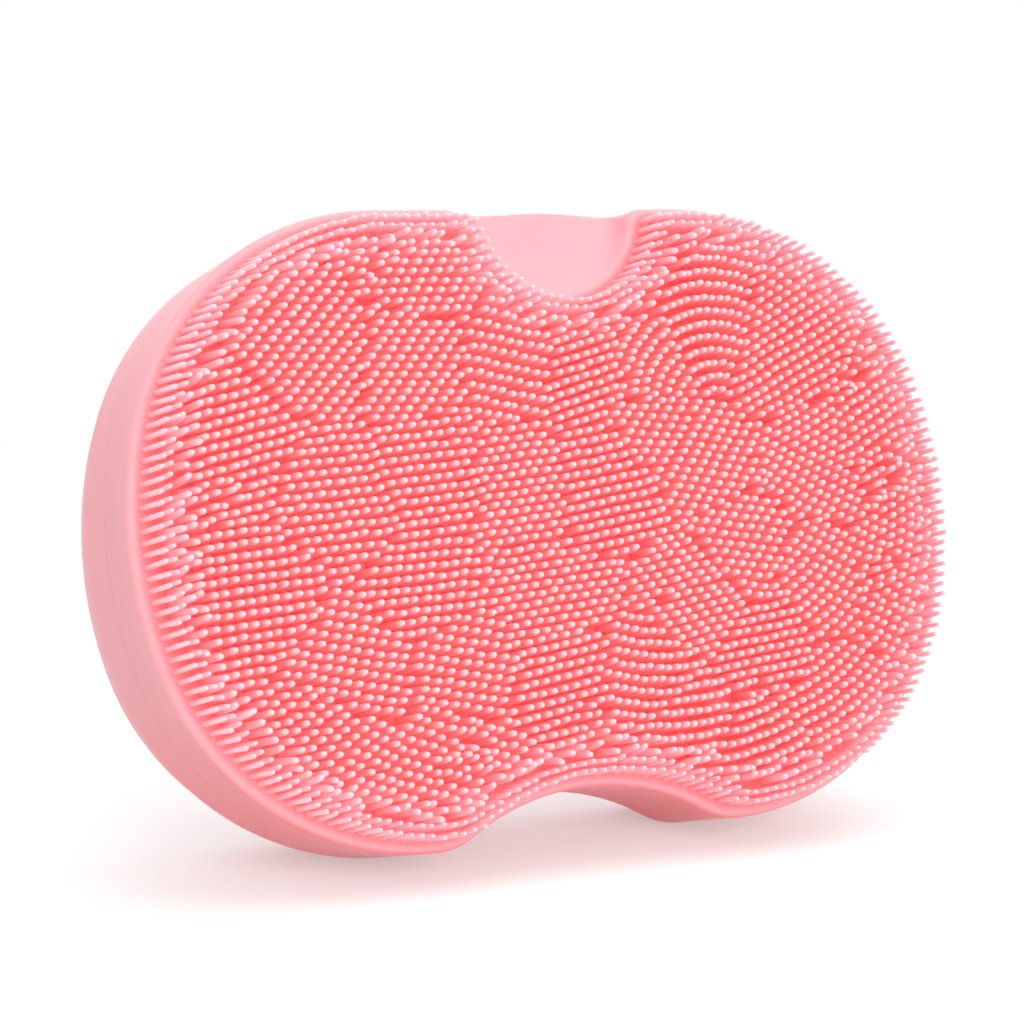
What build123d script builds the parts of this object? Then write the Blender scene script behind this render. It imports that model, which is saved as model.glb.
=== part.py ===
from build123d import *
import os
from math import atan2, cos, degrees, radians, sin, sqrt, tan

os.makedirs("parts", exist_ok=True)

# A facial cleansing brush: a peanut-shaped silicone body with a field of fine
# bristles on its face. It stands on its long edge and leans back.
# Sizes in millimetres, angles in degrees.

# Outer body
body_width = 84.0
body_height = 59.0
wall_depth = 12.5        # the straight side wall, from the bristle face to the draft
drive_clearance = 1.3    # between the motor bracket and the rear shell, which sets the body's depth
stand_angle = 14.0       # draft of the back, and so how far the brush leans back
back_radius = 4.0        # rounding around the back face
back_corner_radius = 0.4 # the same rounding deep inside, where less is left
lobe_width = 46.6        # one lobe, from its outer side to its mirror about the shoulder
shoulder_radius = 20.0
waist_radius = 22.0      # hollow between the lobes, below
saddle_radius = 3000.0   # nearly flat bridge between the lobes, above
rim_radius = 0.7         # rounding of the bristle face's edge

# Thumb scoop, cut into the upper front edge between the lobes
scoop_radius = 8.6
scoop_x = 3.0            # its centre, right of the body's middle
scoop_rise = 1.0         # its centre above the top of the lobes
scoop_depth = 5.9
scoop_edge_radius = 0.6

# Bristles
bristle_length = 5.0
bristle_margin = 1.5     # bare band around the bristle field

# Walls
skin_wall = 1.5
shell_wall = 1.6
parting_depth = 6.2      # where the brush skin meets the grip skin
joint_depth = 10.0       # where the two shells meet
gasket_thickness = 0.8
lip_wall = 1.0
lip_reach = 2.2
slip_gap = 0.1           # clearance of parts that slide or drop into each other
skin_gap = 0.3           # clearance of the silicone around moving or clear parts

# Shell screws
screw_inset = 10.0       # from the body's ends
screw_lift = 2.5         # above and below the shoulders' centres
screw_radius = 1.0
screw_head_radius = 1.9
screw_head_height = 1.2
screw_head_sink = 0.4    # how far the heads sit below the rear shell's outside
screw_length = 12.0
boss_radius = 2.7
pilot_floor = 1.0        # plastic left under each pilot hole
recess_width = 0.5       # cross recess in every screw head
recess_depth = 0.5
recess_share = 0.6       # its length as a share of the head

# Motor
motor_radius = 5.0
motor_length = 16.0
motor_centre_y = -2.0
can_wall = 0.5
cap_thickness = 2.0
nose_radius = 1.8        # bearing nose on the can
nose_length = 1.0
magnet_thickness = 0.9
magnet_length = 11.0
armature_radius = 3.1
armature_length = 9.0
armature_slot = 0.9
shaft_radius = 0.75
shaft_overhang = 8.0
running_gap = 0.05
weight_radius = 4.2
weight_length = 5.0
weight_hub = 1.7
terminal_spacing = 4.4
terminal_width = 1.2
terminal_length = 2.2
terminal_thickness = 0.4
sleeve_wall = 1.0
sleeve_length = 11.0
cradle_floor = 0.8       # plastic under the motor sleeve
cradle_rib = 2.0
bracket_wall = 1.2
bracket_width = 6.0
bracket_foot = 5.0
bracket_boss_radius = 2.3
bracket_screw_length = 6.0
small_screw_radius = 0.8
small_head_radius = 1.5
small_head_height = 1.0

# Battery
battery_width = 20.0
battery_height = 34.0
battery_thickness = 5.5
battery_edge_radius = 2.0
tape_thickness = 0.5
guard_board_width = 12.0
guard_board_height = 3.0
guard_board_thickness = 1.0
guard_board_lift = 0.3   # above the tape's face

# Circuit board
board_right = 6.0        # its edge past the button's middle
board_overlap = 3.3      # its other edge past the battery's middle
board_height = 32.0
board_edge_radius = 1.5
board_thickness = 1.0
board_y = 1.0
board_rear_gap = 3.2     # from the board to the rear shell
board_screw_inset = 2.4
board_boss_radius = 1.9
board_screw_length = 3.6
chip_size = 5.0
chip_height = 0.9
chip_x = -13.0
chip_y = -3.0
small_part_length = 1.6
small_part_width = 0.8
small_part_height = 0.45
small_part_pitch = 5.0
small_part_clearance = 2.7   # between the chip and the rows of small parts
capacitor_radius = 2.0
capacitor_height = 1.8

# Button, light and charging contacts, on the back
button_radius = 5.2
button_y = 4.0
button_flange = 0.9
button_flange_thickness = 0.7
button_travel = 0.5
button_proud = 0.4
button_dish = 0.5
seal_width = 1.0
seal_thickness = 0.9
switch_size = 4.6
switch_height = 1.5
plunger_radius = 1.0
light_radius = 1.2
light_flange = 0.6
light_flange_thickness = 0.8
light_gap = 0.9          # between the button's flange and the light guide's
led_size = 1.6
led_height = 0.7
led_gap = 0.3
contact_gap = 0.7        # between the button's flange and the contact block's
contact_spacing = 6.4
contact_radius = 1.2
contact_recess = 0.4
block_width = 13.0
block_height = 5.6
block_flange = 0.9
block_flange_thickness = 0.8
contact_tip_radius = 0.3
wire_radius = 0.35
bend_share = 0.45        # of a wire's shorter run, taken up by each bend
motor_pad_inset = 6.0    # from the board's lower edge
battery_pad_inset = 5.0  # from the board's upper edge
battery_pad_x = 1.0      # first pad, from the cell's middle
battery_pad_pitch = 2.0

# Worked out from the sizes above
half_width = body_width / 2
half_height = body_height / 2
core_inset = skin_wall + shell_wall
floor_depth = core_inset                   # inner face of the front shell
sleeve_radius = motor_radius + sleeve_wall
motor_depth = floor_depth + cradle_floor + sleeve_radius
body_depth = motor_depth + sleeve_radius + bracket_wall + drive_clearance + core_inset
back_depth = body_depth - wall_depth       # the drafted back, behind the side wall
ceiling_depth = body_depth - core_inset    # inner face of the rear shell
shoulder_x = half_width - lobe_width / 2
shoulder_y = half_height - shoulder_radius
lobe_reach = lobe_width / 2
side_radius = (lobe_reach**2 + shoulder_y**2 - shoulder_radius**2) / (2 * (lobe_reach - shoulder_radius))
side_x = half_width - side_radius
waist_y = -shoulder_y - sqrt((shoulder_radius + waist_radius) ** 2 - shoulder_x**2)
saddle_y = shoulder_y + sqrt((shoulder_radius + saddle_radius) ** 2 - shoulder_x**2)

# The face plane leans back by the stand angle: its x runs along the brush, its y
# up the face and its normal out of the face. The brush rests on the drafted
# underside of its two lobes, and the origin lies on the floor below its middle.
lean = radians(stand_angle)
front_reach = (half_height - bristle_margin) * sin(lean) + bristle_length * cos(lean)
rear_centre_depth = body_depth - back_radius
rear_centre_y = half_height - (rear_centre_depth - wall_depth) * tan(lean) - back_radius / cos(lean)
rear_reach = rear_centre_y * sin(lean) + rear_centre_depth * cos(lean) + back_radius
face_y = (front_reach - rear_reach) / 2
face_z = half_height * cos(lean) + wall_depth * sin(lean)
face = Plane(origin=(0, face_y, face_z), x_dir=(1, 0, 0), z_dir=(0, -cos(lean), sin(lean)))
inward = Plane(origin=face.origin, x_dir=(-1, 0, 0), z_dir=(0, cos(lean), -sin(lean)))
up_face = Vector(0, sin(lean), cos(lean))


def at_depth(depth):
    # the face plane moved into the body; extrusions into the body are negative
    return face.offset(-depth)


def spot(x, y, depth):
    return face.from_local_coords((x, y, -depth))


def level(x, y, depth):
    # a plane across the face's height: x along the brush, y into the body
    return Plane(origin=spot(x, y, depth), x_dir=(1, 0, 0), z_dir=up_face)


def peanut(inset, plane):
    # the body's outline as tangent arcs, drawn a distance inside the outer one
    side_angle = degrees(atan2(shoulder_y, shoulder_x - side_x))
    saddle_angle = degrees(atan2(saddle_y - shoulder_y, -shoulder_x))
    waist_angle = degrees(atan2(waist_y + shoulder_y, -shoulder_x))
    side_r = side_radius - inset
    shoulder_r = shoulder_radius - inset
    waist_r = waist_radius + inset
    saddle_r = saddle_radius + inset
    with BuildSketch(plane) as profile:
        with BuildLine():
            CenterArc((side_x, 0), side_r, -side_angle, 2 * side_angle)
            CenterArc((shoulder_x, shoulder_y), shoulder_r, side_angle, saddle_angle - side_angle)
            CenterArc((shoulder_x, -shoulder_y), shoulder_r, waist_angle, -side_angle - waist_angle)
            CenterArc((0, saddle_y), saddle_r, saddle_angle - 180, 90 - saddle_angle)
            CenterArc((0, waist_y), waist_r, waist_angle + 180, -90 - waist_angle)
            mirror(about=Plane.YZ)
        make_face()
    return profile.sketch


def scoop(inset):
    # the thumb scoop as a tool: a half ellipsoid behind the face, a cylinder before it
    plane = level(scoop_x, half_height + scoop_rise, 0)
    radius = scoop_radius + inset
    reach = scoop_depth + inset
    with BuildPart() as tool:
        with BuildSketch(plane):
            with BuildLine():
                Polyline((0, reach), (0, -2 * wall_depth), (radius, -2 * wall_depth), (radius, 0))
                EllipticalCenterArc((0, 0), radius, reach, 0, arc_size=90)
            make_face()
        revolve(axis=Axis(plane.origin, inward.z_dir))
    return tool.part


def envelope(inset, front_radius=0):
    # the whole body's shape, drawn a distance inside its outer surface
    with BuildPart() as body:
        extrude(peanut(inset, inward.offset(inset)), amount=wall_depth - inset)
        if front_radius:
            front_face = body.faces().sort_by(Axis(face.origin, inward.z_dir))[0]
            fillet(front_face.edges(), front_radius)
        extrude(peanut(inset, inward.offset(wall_depth)), amount=back_depth - inset, taper=stand_angle)
        back_face = body.faces().sort_by(Axis(face.origin, inward.z_dir))[-1]
        fillet(back_face.edges(), max(back_radius - inset, back_corner_radius))
        add(scoop(inset), mode=Mode.SUBTRACT)
    return body.part


def layer(outer, inner, front, rear):
    # the wall between two insets, kept between two depths
    with BuildPart() as wall:
        add(outer)
        add(inner, mode=Mode.SUBTRACT)
        with BuildSketch(at_depth(front)):
            Rectangle(2 * body_width, 2 * body_height)
        extrude(amount=front - rear, mode=Mode.INTERSECT)
    return wall.part


def pillar(depth_from, depth_to, radius, places):
    # round bosses standing between two depths, for the part being made
    with BuildPart(mode=Mode.PRIVATE) as posts:
        with BuildSketch(at_depth(depth_from)):
            with Locations(*places):
                Circle(radius)
        extrude(amount=depth_from - depth_to)
    return posts.part


def screws(places, seat_depth, head_radius, head_height, radius, length, forwards):
    # pan-head screws along the depth; forwards is 1 where they drive towards the face
    along = Axis(face.origin, face.z_dir * forwards)
    recess_length = 2 * head_radius * recess_share
    with BuildPart() as group:
        with BuildSketch(at_depth(seat_depth)):
            with Locations(*places):
                Circle(head_radius)
        extrude(amount=-forwards * head_height)
        tops = group.faces().sort_by(along)[:len(places)]
        fillet(tops.edges(), head_height / 3)
        with BuildSketch(at_depth(seat_depth)):
            with Locations(*places):
                Circle(radius)
        extrude(amount=forwards * length)
        tips = group.faces().sort_by(along)[-len(places):]
        chamfer(tips.edges(), radius / 2)
        with BuildSketch(at_depth(seat_depth + forwards * (head_height - recess_depth))):
            with Locations(*places):
                Rectangle(recess_length, recess_width)
                Rectangle(recess_width, recess_length)
        extrude(amount=-forwards * recess_depth, mode=Mode.SUBTRACT)
    return group.part


# The body's layers, from the outside in
with BuildPart() as hull:
    add(envelope(0, rim_radius))
    fillet(hull.faces().filter_by(GeomType.REVOLUTION).edges(), scoop_edge_radius)
skin_core = envelope(skin_wall)
shell_core = envelope(core_inset)
slip_core = envelope(core_inset + slip_gap)
lip_core = envelope(core_inset + lip_wall)

# Depths and places that pieces share
shell_back = body_depth - skin_wall
gasket_front = joint_depth - gasket_thickness / 2
gasket_rear = joint_depth + gasket_thickness / 2
screw_x = half_width - screw_inset
screw_y = shoulder_y + screw_lift
screw_places = [(x, y) for x in (-screw_x, screw_x) for y in (-screw_y, screw_y)]
screw_seat = shell_back - screw_head_sink - screw_head_height
motor_x = shoulder_x
motor_low = motor_centre_y - motor_length / 2
motor_high = motor_centre_y + motor_length / 2
bracket_screw_x = sleeve_radius + bracket_wall + (bracket_foot - bracket_wall) / 2
bracket_places = [(motor_x + side * bracket_screw_x, motor_centre_y) for side in (-1, 1)]
board_rear = ceiling_depth - board_rear_gap
board_front = board_rear - board_thickness
board_left = -shoulder_x - board_overlap
board_width = board_right - board_left
board_x = (board_left + board_right) / 2
board_screw_dx = board_width / 2 - board_screw_inset
board_screw_dy = board_height / 2 - board_screw_inset
board_xs = (board_x - board_screw_dx, board_x + board_screw_dx)
board_ys = (board_y - board_screw_dy, board_y + board_screw_dy)
board_places = [(x, y) for x in board_xs for y in board_ys]
button_floor = ceiling_depth - running_gap - button_flange_thickness
switch_top = board_rear + switch_height
button_reach = button_radius + button_flange
light_y = button_y + button_reach + light_gap + light_radius + light_flange
contact_y = button_y - button_reach - contact_gap - block_height / 2 - block_flange
button_place = [(0, button_y)]
light_place = [(0, light_y)]
battery_front = floor_depth + tape_thickness
battery_top = battery_height / 2
contact_places = [(side * contact_spacing / 2, contact_y) for side in (-1, 1)]
block_face = body_depth - contact_recess

# Silicone brush skin: the face and the front half of the side wall
with BuildPart() as brush_skin:
    add(layer(hull.part, skin_core, 0, parting_depth))

# Bristle field: the closed space that the moulded bristles fill
with BuildPart() as bristle_field:
    extrude(peanut(bristle_margin, face), amount=bristle_length)
    add(scoop(bristle_margin), mode=Mode.SUBTRACT)

# Silicone grip skin: the rear half of the wall and the drafted back
with BuildPart() as grip_skin:
    add(layer(hull.part, skin_core, parting_depth, body_depth))
    with BuildSketch(at_depth(body_depth)):
        with Locations((0, button_y)):
            Circle(button_radius + skin_gap)
        with Locations((0, light_y)):
            Circle(light_radius + slip_gap)
        with Locations((0, contact_y)):
            SlotOverall(block_width + 2 * slip_gap, block_height + 2 * slip_gap)
    extrude(amount=skin_wall, mode=Mode.SUBTRACT)

# Rigid front shell with the screw bosses and the motor cradle
with BuildPart() as front_shell:
    add(layer(skin_core, shell_core, 0, gasket_front))
    add(pillar(floor_depth - shell_wall / 2, joint_depth, boss_radius, screw_places))
    add(pillar(floor_depth - shell_wall / 2, motor_depth, bracket_boss_radius, bracket_places))
    rib_shift = (sleeve_length - cradle_rib) / 2
    rib_drop = motor_depth - floor_depth + shell_wall / 2
    for rib_y in (motor_centre_y - rib_shift, motor_centre_y + rib_shift):
        with BuildSketch(level(motor_x, rib_y, motor_depth)):
            with Locations((0, -rib_drop / 2)):
                Rectangle(2 * sleeve_radius + 2 * cradle_rib, rib_drop)
            Circle(sleeve_radius, mode=Mode.SUBTRACT)
        extrude(amount=cradle_rib / 2, both=True)
    add(pillar(floor_depth + pilot_floor, joint_depth, screw_radius, screw_places), mode=Mode.SUBTRACT)
    add(pillar(motor_depth - bracket_screw_length, motor_depth, small_screw_radius, bracket_places),
        mode=Mode.SUBTRACT)

# Gasket squeezed between the two shells
with BuildPart() as shell_gasket:
    add(layer(skin_core, shell_core, gasket_front, gasket_rear))

# Rigid rear shell with its lip, screw bosses and board bosses
with BuildPart() as rear_shell:
    add(layer(skin_core, shell_core, gasket_rear, body_depth))
    add(layer(shell_core, lip_core, gasket_rear, gasket_rear + lip_wall))
    add(layer(slip_core, lip_core, joint_depth - lip_reach, gasket_rear))
    add(pillar(joint_depth, ceiling_depth + shell_wall / 2, boss_radius, screw_places))
    add(pillar(board_rear, ceiling_depth + shell_wall / 2, board_boss_radius, board_places))
    add(pillar(joint_depth, shell_back, screw_radius + slip_gap, screw_places), mode=Mode.SUBTRACT)
    add(pillar(screw_seat, body_depth, screw_head_radius + slip_gap, screw_places), mode=Mode.SUBTRACT)
    pilot_end = board_front + board_screw_length
    add(pillar(board_rear, pilot_end, small_screw_radius, board_places), mode=Mode.SUBTRACT)
    with BuildSketch(at_depth(shell_back)):
        with Locations((0, button_y)):
            Circle(button_radius + slip_gap)
        with Locations((0, light_y)):
            Circle(light_radius + slip_gap)
        with Locations((0, contact_y)):
            SlotOverall(block_width + 2 * slip_gap, block_height + 2 * slip_gap)
    extrude(amount=shell_wall, mode=Mode.SUBTRACT)
    with BuildSketch(at_depth(shell_back)):
        with Locations((0, button_y)):
            Circle(button_radius + running_gap + seal_width + slip_gap)
    extrude(amount=seal_thickness, mode=Mode.SUBTRACT)

with BuildPart() as shell_screws:
    add(screws(screw_places, screw_seat, screw_head_radius, screw_head_height,
               screw_radius, screw_length, 1))

# Vibration motor: can, magnet, end cap and terminals
with BuildPart() as motor_can:
    with BuildSketch(level(motor_x, motor_low, motor_depth)):
        Circle(motor_radius)
    extrude(amount=motor_length)
    fillet(motor_can.faces().sort_by(Axis(face.origin, up_face))[-1].edges(), can_wall)
    with BuildSketch(level(motor_x, motor_high, motor_depth)):
        Circle(nose_radius)
    extrude(amount=nose_length)
    with BuildSketch(level(motor_x, motor_low, motor_depth)):
        Circle(motor_radius - can_wall)
    extrude(amount=motor_length - can_wall, mode=Mode.SUBTRACT)
    with BuildSketch(level(motor_x, motor_low, motor_depth)):
        Circle(shaft_radius + running_gap)
    extrude(amount=motor_length + nose_length, mode=Mode.SUBTRACT)

with BuildPart() as motor_magnet:
    with BuildSketch(level(motor_x, motor_centre_y, motor_depth)):
        Circle(motor_radius - can_wall)
        Circle(motor_radius - can_wall - magnet_thickness, mode=Mode.SUBTRACT)
    extrude(amount=magnet_length / 2, both=True)

with BuildPart() as motor_end_cap:
    with BuildSketch(level(motor_x, motor_low, motor_depth)):
        Circle(motor_radius - can_wall)
    extrude(amount=cap_thickness)
    with BuildSketch(level(motor_x, motor_low + cap_thickness / 2, motor_depth)):
        Circle(shaft_radius + running_gap)
    extrude(amount=cap_thickness / 2, mode=Mode.SUBTRACT)

with BuildPart() as motor_terminals:
    with BuildSketch(level(motor_x, motor_low, motor_depth)):
        with GridLocations(terminal_spacing, 1, 2, 1):
            Rectangle(terminal_thickness, terminal_width)
    extrude(amount=-terminal_length)

# Rotor: armature, shaft and the half-round eccentric weight
with BuildPart() as motor_shaft:
    with BuildSketch(level(motor_x, motor_low + cap_thickness / 2 + slip_gap, motor_depth)):
        Circle(shaft_radius)
    extrude(amount=motor_length - cap_thickness / 2 - slip_gap + shaft_overhang)
    chamfer(motor_shaft.faces().sort_by(Axis(face.origin, up_face))[-1].edges(), shaft_radius / 4)

with BuildPart() as armature:
    with BuildSketch(level(motor_x, motor_centre_y, motor_depth)):
        Circle(armature_radius)
        with PolarLocations(armature_radius, 3):
            Rectangle(armature_radius, armature_slot, mode=Mode.SUBTRACT)
        Circle(shaft_radius, mode=Mode.SUBTRACT)
    extrude(amount=armature_length / 2, both=True)

with BuildPart() as eccentric_weight:
    with BuildSketch(level(motor_x, motor_high + shaft_overhang - weight_length, motor_depth)):
        with BuildLine():
            CenterArc((0, 0), weight_radius, 0, 180)
            Line((-weight_radius, 0), (weight_radius, 0))
        make_face()
        Circle(weight_hub)
        Circle(shaft_radius, mode=Mode.SUBTRACT)
    extrude(amount=weight_length)

# Rubber sleeve around the motor, and the bracket that clamps it
with BuildPart() as motor_sleeve:
    with BuildSketch(level(motor_x, motor_centre_y, motor_depth)):
        Circle(sleeve_radius)
        Circle(motor_radius, mode=Mode.SUBTRACT)
    extrude(amount=sleeve_length / 2, both=True)

with BuildPart() as motor_bracket:
    with BuildSketch(level(motor_x, motor_centre_y, motor_depth)):
        Circle(sleeve_radius + bracket_wall)
        with Locations((0, -sleeve_radius)):
            Rectangle(4 * sleeve_radius, 2 * sleeve_radius, mode=Mode.SUBTRACT)
        with Locations((0, bracket_wall / 2)):
            Rectangle(2 * (sleeve_radius + bracket_foot), bracket_wall)
        Circle(sleeve_radius, mode=Mode.SUBTRACT)
    extrude(amount=bracket_width / 2, both=True)
    add(pillar(motor_depth, motor_depth + bracket_wall, small_screw_radius + slip_gap, bracket_places),
        mode=Mode.SUBTRACT)

with BuildPart() as bracket_screws:
    add(screws(bracket_places, motor_depth + bracket_wall, small_head_radius, small_head_height,
               small_screw_radius, bracket_screw_length, 1))

# Battery: pouch cell, foam tape and its guard board
with BuildPart() as battery_cell:
    with BuildSketch(at_depth(battery_front)):
        with Locations((-shoulder_x, 0)):
            Rectangle(battery_width, battery_height)
    extrude(amount=-battery_thickness)
    fillet(battery_cell.edges().filter_by(Axis(face.origin, up_face)), battery_edge_radius)
    fillet(battery_cell.faces().sort_by(Axis(face.origin, up_face))[0].edges(), battery_edge_radius / 4)

with BuildPart() as battery_tape:
    with BuildSketch(at_depth(floor_depth)):
        with Locations((-shoulder_x, 0)):
            Rectangle(battery_width - 2 * battery_edge_radius, battery_height - 2 * battery_edge_radius)
    extrude(amount=-tape_thickness)

guard_depth = battery_front + guard_board_lift
guard_y = battery_top + guard_board_height / 2
with BuildPart() as battery_guard_board:
    with BuildSketch(at_depth(guard_depth)):
        with Locations((-shoulder_x, guard_y)):
            Rectangle(guard_board_width, guard_board_height)
    extrude(amount=-guard_board_thickness)

# Circuit board and what is soldered to it
with BuildPart() as circuit_board:
    with BuildSketch(at_depth(board_front)):
        with Locations((board_x, board_y)):
            RectangleRounded(board_width, board_height, board_edge_radius)
        with Locations(*board_places):
            Circle(small_screw_radius + slip_gap, mode=Mode.SUBTRACT)
    extrude(amount=-board_thickness)

with BuildPart() as board_screws:
    add(screws(board_places, board_front, small_head_radius, small_head_height,
               small_screw_radius, board_screw_length, -1))

with BuildPart() as control_chip:
    with BuildSketch(at_depth(board_rear)):
        with Locations((chip_x, chip_y)):
            Rectangle(chip_size, chip_size)
    extrude(amount=-chip_height)
    chamfer(control_chip.faces().sort_by(Axis(face.origin, inward.z_dir))[-1].edges(), chip_height / 6)

upper_row_y = chip_y + chip_size / 2 + small_part_clearance + small_part_length / 2
lower_row_y = chip_y - chip_size / 2 - small_part_clearance - small_part_length / 2
capacitor_y = upper_row_y + small_part_length / 2 + small_part_clearance + capacitor_radius
with BuildPart() as board_parts:
    with BuildSketch(at_depth(board_rear)):
        with Locations((chip_x, upper_row_y)):
            with GridLocations(small_part_pitch, 1, 3, 1):
                Rectangle(small_part_length, small_part_width)
        with Locations((chip_x, lower_row_y)):
            with GridLocations(small_part_pitch, 1, 2, 1):
                Rectangle(small_part_width, small_part_length)
    extrude(amount=-small_part_height)
    with BuildSketch(at_depth(board_rear)):
        with Locations((chip_x, capacitor_y)):
            Circle(capacitor_radius)
    extrude(amount=-capacitor_height)

with BuildPart() as power_switch:
    with BuildSketch(at_depth(board_rear)):
        with Locations((0, button_y)):
            RectangleRounded(switch_size, switch_size, switch_size / 10)
    extrude(amount=-switch_height)
    well_floor = switch_top - 2 * button_travel - slip_gap
    add(pillar(well_floor, switch_top, plunger_radius + running_gap, button_place), mode=Mode.SUBTRACT)

with BuildPart() as status_led:
    with BuildSketch(at_depth(board_rear)):
        with Locations((0, light_y)):
            Rectangle(led_size, led_size)
    extrude(amount=-led_height)

# Button: a dished cap on a flange, sealed by a ring, over the switch plunger
with BuildPart() as power_button:
    flange_top = button_floor + button_flange_thickness
    add(pillar(button_floor, flange_top, button_reach, button_place))
    add(pillar(button_floor, body_depth + button_proud, button_radius, button_place))
    cap_face = power_button.faces().sort_by(Axis(face.origin, inward.z_dir))[-1]
    fillet(cap_face.edges(), button_proud)
    dish_reach = button_radius - 2 * button_proud
    dish_radius = (dish_reach**2 + button_dish**2) / (2 * button_dish)
    with Locations(spot(0, button_y, body_depth + button_proud - button_dish + dish_radius)):
        Sphere(dish_radius, mode=Mode.SUBTRACT)

with BuildPart() as switch_plunger:
    add(pillar(switch_top - button_travel - slip_gap / 2, button_floor, plunger_radius, button_place))

with BuildPart() as button_seal:
    with BuildSketch(at_depth(shell_back)):
        with Locations((0, button_y)):
            Circle(button_radius + running_gap + seal_width)
            Circle(button_radius + running_gap, mode=Mode.SUBTRACT)
    extrude(amount=seal_thickness)

# Clear light guide over the status light
with BuildPart() as light_guide:
    flange_foot = ceiling_depth - light_flange_thickness
    add(pillar(board_rear + led_height + led_gap, body_depth, light_radius, light_place))
    add(pillar(flange_foot, ceiling_depth, light_radius + light_flange, light_place))

# Charging contacts in their block
with BuildPart() as contact_block:
    with BuildSketch(at_depth(ceiling_depth - block_flange_thickness)):
        with Locations((0, contact_y)):
            SlotOverall(block_width + 2 * block_flange, block_height + 2 * block_flange)
    extrude(amount=-block_flange_thickness)
    with BuildSketch(at_depth(ceiling_depth)):
        with Locations((0, contact_y)):
            SlotOverall(block_width, block_height)
    extrude(amount=ceiling_depth - block_face)
    add(pillar(board_rear, body_depth, contact_radius, contact_places), mode=Mode.SUBTRACT)

with BuildPart() as charging_pins:
    add(pillar(board_rear, block_face, contact_radius, contact_places))
    tips = charging_pins.faces().sort_by(Axis(face.origin, inward.z_dir))[-2:]
    fillet(tips.edges(), contact_tip_radius)


def lead(points):
    # a thin wire through its points, each bend as wide as its two runs allow
    knots = [spot(*p) for p in points]
    radii = []
    for before, corner, after in zip(knots, knots[1:], knots[2:]):
        turn = radians((corner - before).get_angle(after - corner))
        shorter = min((corner - before).length, (after - corner).length)
        radii.append(bend_share * shorter / tan(turn / 2))
    print("lead bends", [round(r, 2) for r in radii])
    with BuildPart() as wire:
        with BuildLine() as route:
            FilletPolyline(*knots, radius=radii)
        with BuildSketch(Plane(origin=knots[0], z_dir=knots[1] - knots[0])):
            Circle(wire_radius)
        sweep(path=route.line)
    return wire.part


# Leads: motor terminals to the board, and battery guard board to the board
terminal_end = motor_low - terminal_length + wire_radius
pad_y = board_y - board_height / 2 + motor_pad_inset
battery_pad_y = board_y + board_height / 2 - battery_pad_inset
battery_lead_depth = battery_front + battery_thickness + wire_radius + slip_gap


def motor_lead(side, drop, pad_x):
    # down from a terminal, across under the motor and back up to a pad on the board
    start_x = motor_x + side * (terminal_spacing / 2 - terminal_thickness / 2 - wire_radius)
    low_y = terminal_end - drop
    return lead([
        (start_x, terminal_end, motor_depth),
        (start_x, low_y, motor_depth),
        ((start_x + pad_x) / 2 + 2, low_y - 1, motor_depth + 0.6),
        (pad_x + 1.5, low_y + 1, board_front - 4.8),
        (pad_x, pad_y, board_front - 5.3),
        (pad_x, pad_y, board_front),
    ])


def battery_lead(x):
    # over the cell's rear face, then straight back to a pad on the board
    return lead([
        (x, guard_y, guard_depth + guard_board_thickness),
        (x, guard_y, battery_lead_depth),
        (x, battery_pad_y, battery_lead_depth),
        (x, battery_pad_y, board_front),
    ])


with BuildPart() as motor_lead_red:
    add(motor_lead(-1, 4.0, 1.4))
with BuildPart() as motor_lead_black:
    add(motor_lead(1, 6.4, -2.4))
with BuildPart() as battery_lead_red:
    add(battery_lead(-shoulder_x + battery_pad_x))
with BuildPart() as battery_lead_black:
    add(battery_lead(-shoulder_x + battery_pad_x + battery_pad_pitch))

brush_skin.part.label = "brush_skin"
export_step(brush_skin.part, "parts/brush_skin.step")
bristle_field.part.label = "bristle_field"
export_step(bristle_field.part, "parts/bristle_field.step")
grip_skin.part.label = "grip_skin"
export_step(grip_skin.part, "parts/grip_skin.step")
front_shell.part.label = "front_shell"
export_step(front_shell.part, "parts/front_shell.step")
shell_gasket.part.label = "shell_gasket"
export_step(shell_gasket.part, "parts/shell_gasket.step")
rear_shell.part.label = "rear_shell"
export_step(rear_shell.part, "parts/rear_shell.step")
shell_screws.part.label = "shell_screws"
export_step(shell_screws.part, "parts/shell_screws.step")
motor_can.part.label = "motor_can"
export_step(motor_can.part, "parts/motor_can.step")
motor_magnet.part.label = "motor_magnet"
export_step(motor_magnet.part, "parts/motor_magnet.step")
motor_end_cap.part.label = "motor_end_cap"
export_step(motor_end_cap.part, "parts/motor_end_cap.step")
motor_terminals.part.label = "motor_terminals"
export_step(motor_terminals.part, "parts/motor_terminals.step")
motor_shaft.part.label = "motor_shaft"
export_step(motor_shaft.part, "parts/motor_shaft.step")
armature.part.label = "armature"
export_step(armature.part, "parts/armature.step")
eccentric_weight.part.label = "eccentric_weight"
export_step(eccentric_weight.part, "parts/eccentric_weight.step")
motor_sleeve.part.label = "motor_sleeve"
export_step(motor_sleeve.part, "parts/motor_sleeve.step")
motor_bracket.part.label = "motor_bracket"
export_step(motor_bracket.part, "parts/motor_bracket.step")
bracket_screws.part.label = "bracket_screws"
export_step(bracket_screws.part, "parts/bracket_screws.step")
battery_cell.part.label = "battery_cell"
export_step(battery_cell.part, "parts/battery_cell.step")
battery_tape.part.label = "battery_tape"
export_step(battery_tape.part, "parts/battery_tape.step")
battery_guard_board.part.label = "battery_guard_board"
export_step(battery_guard_board.part, "parts/battery_guard_board.step")
circuit_board.part.label = "circuit_board"
export_step(circuit_board.part, "parts/circuit_board.step")
board_screws.part.label = "board_screws"
export_step(board_screws.part, "parts/board_screws.step")
control_chip.part.label = "control_chip"
export_step(control_chip.part, "parts/control_chip.step")
board_parts.part.label = "board_parts"
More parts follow.
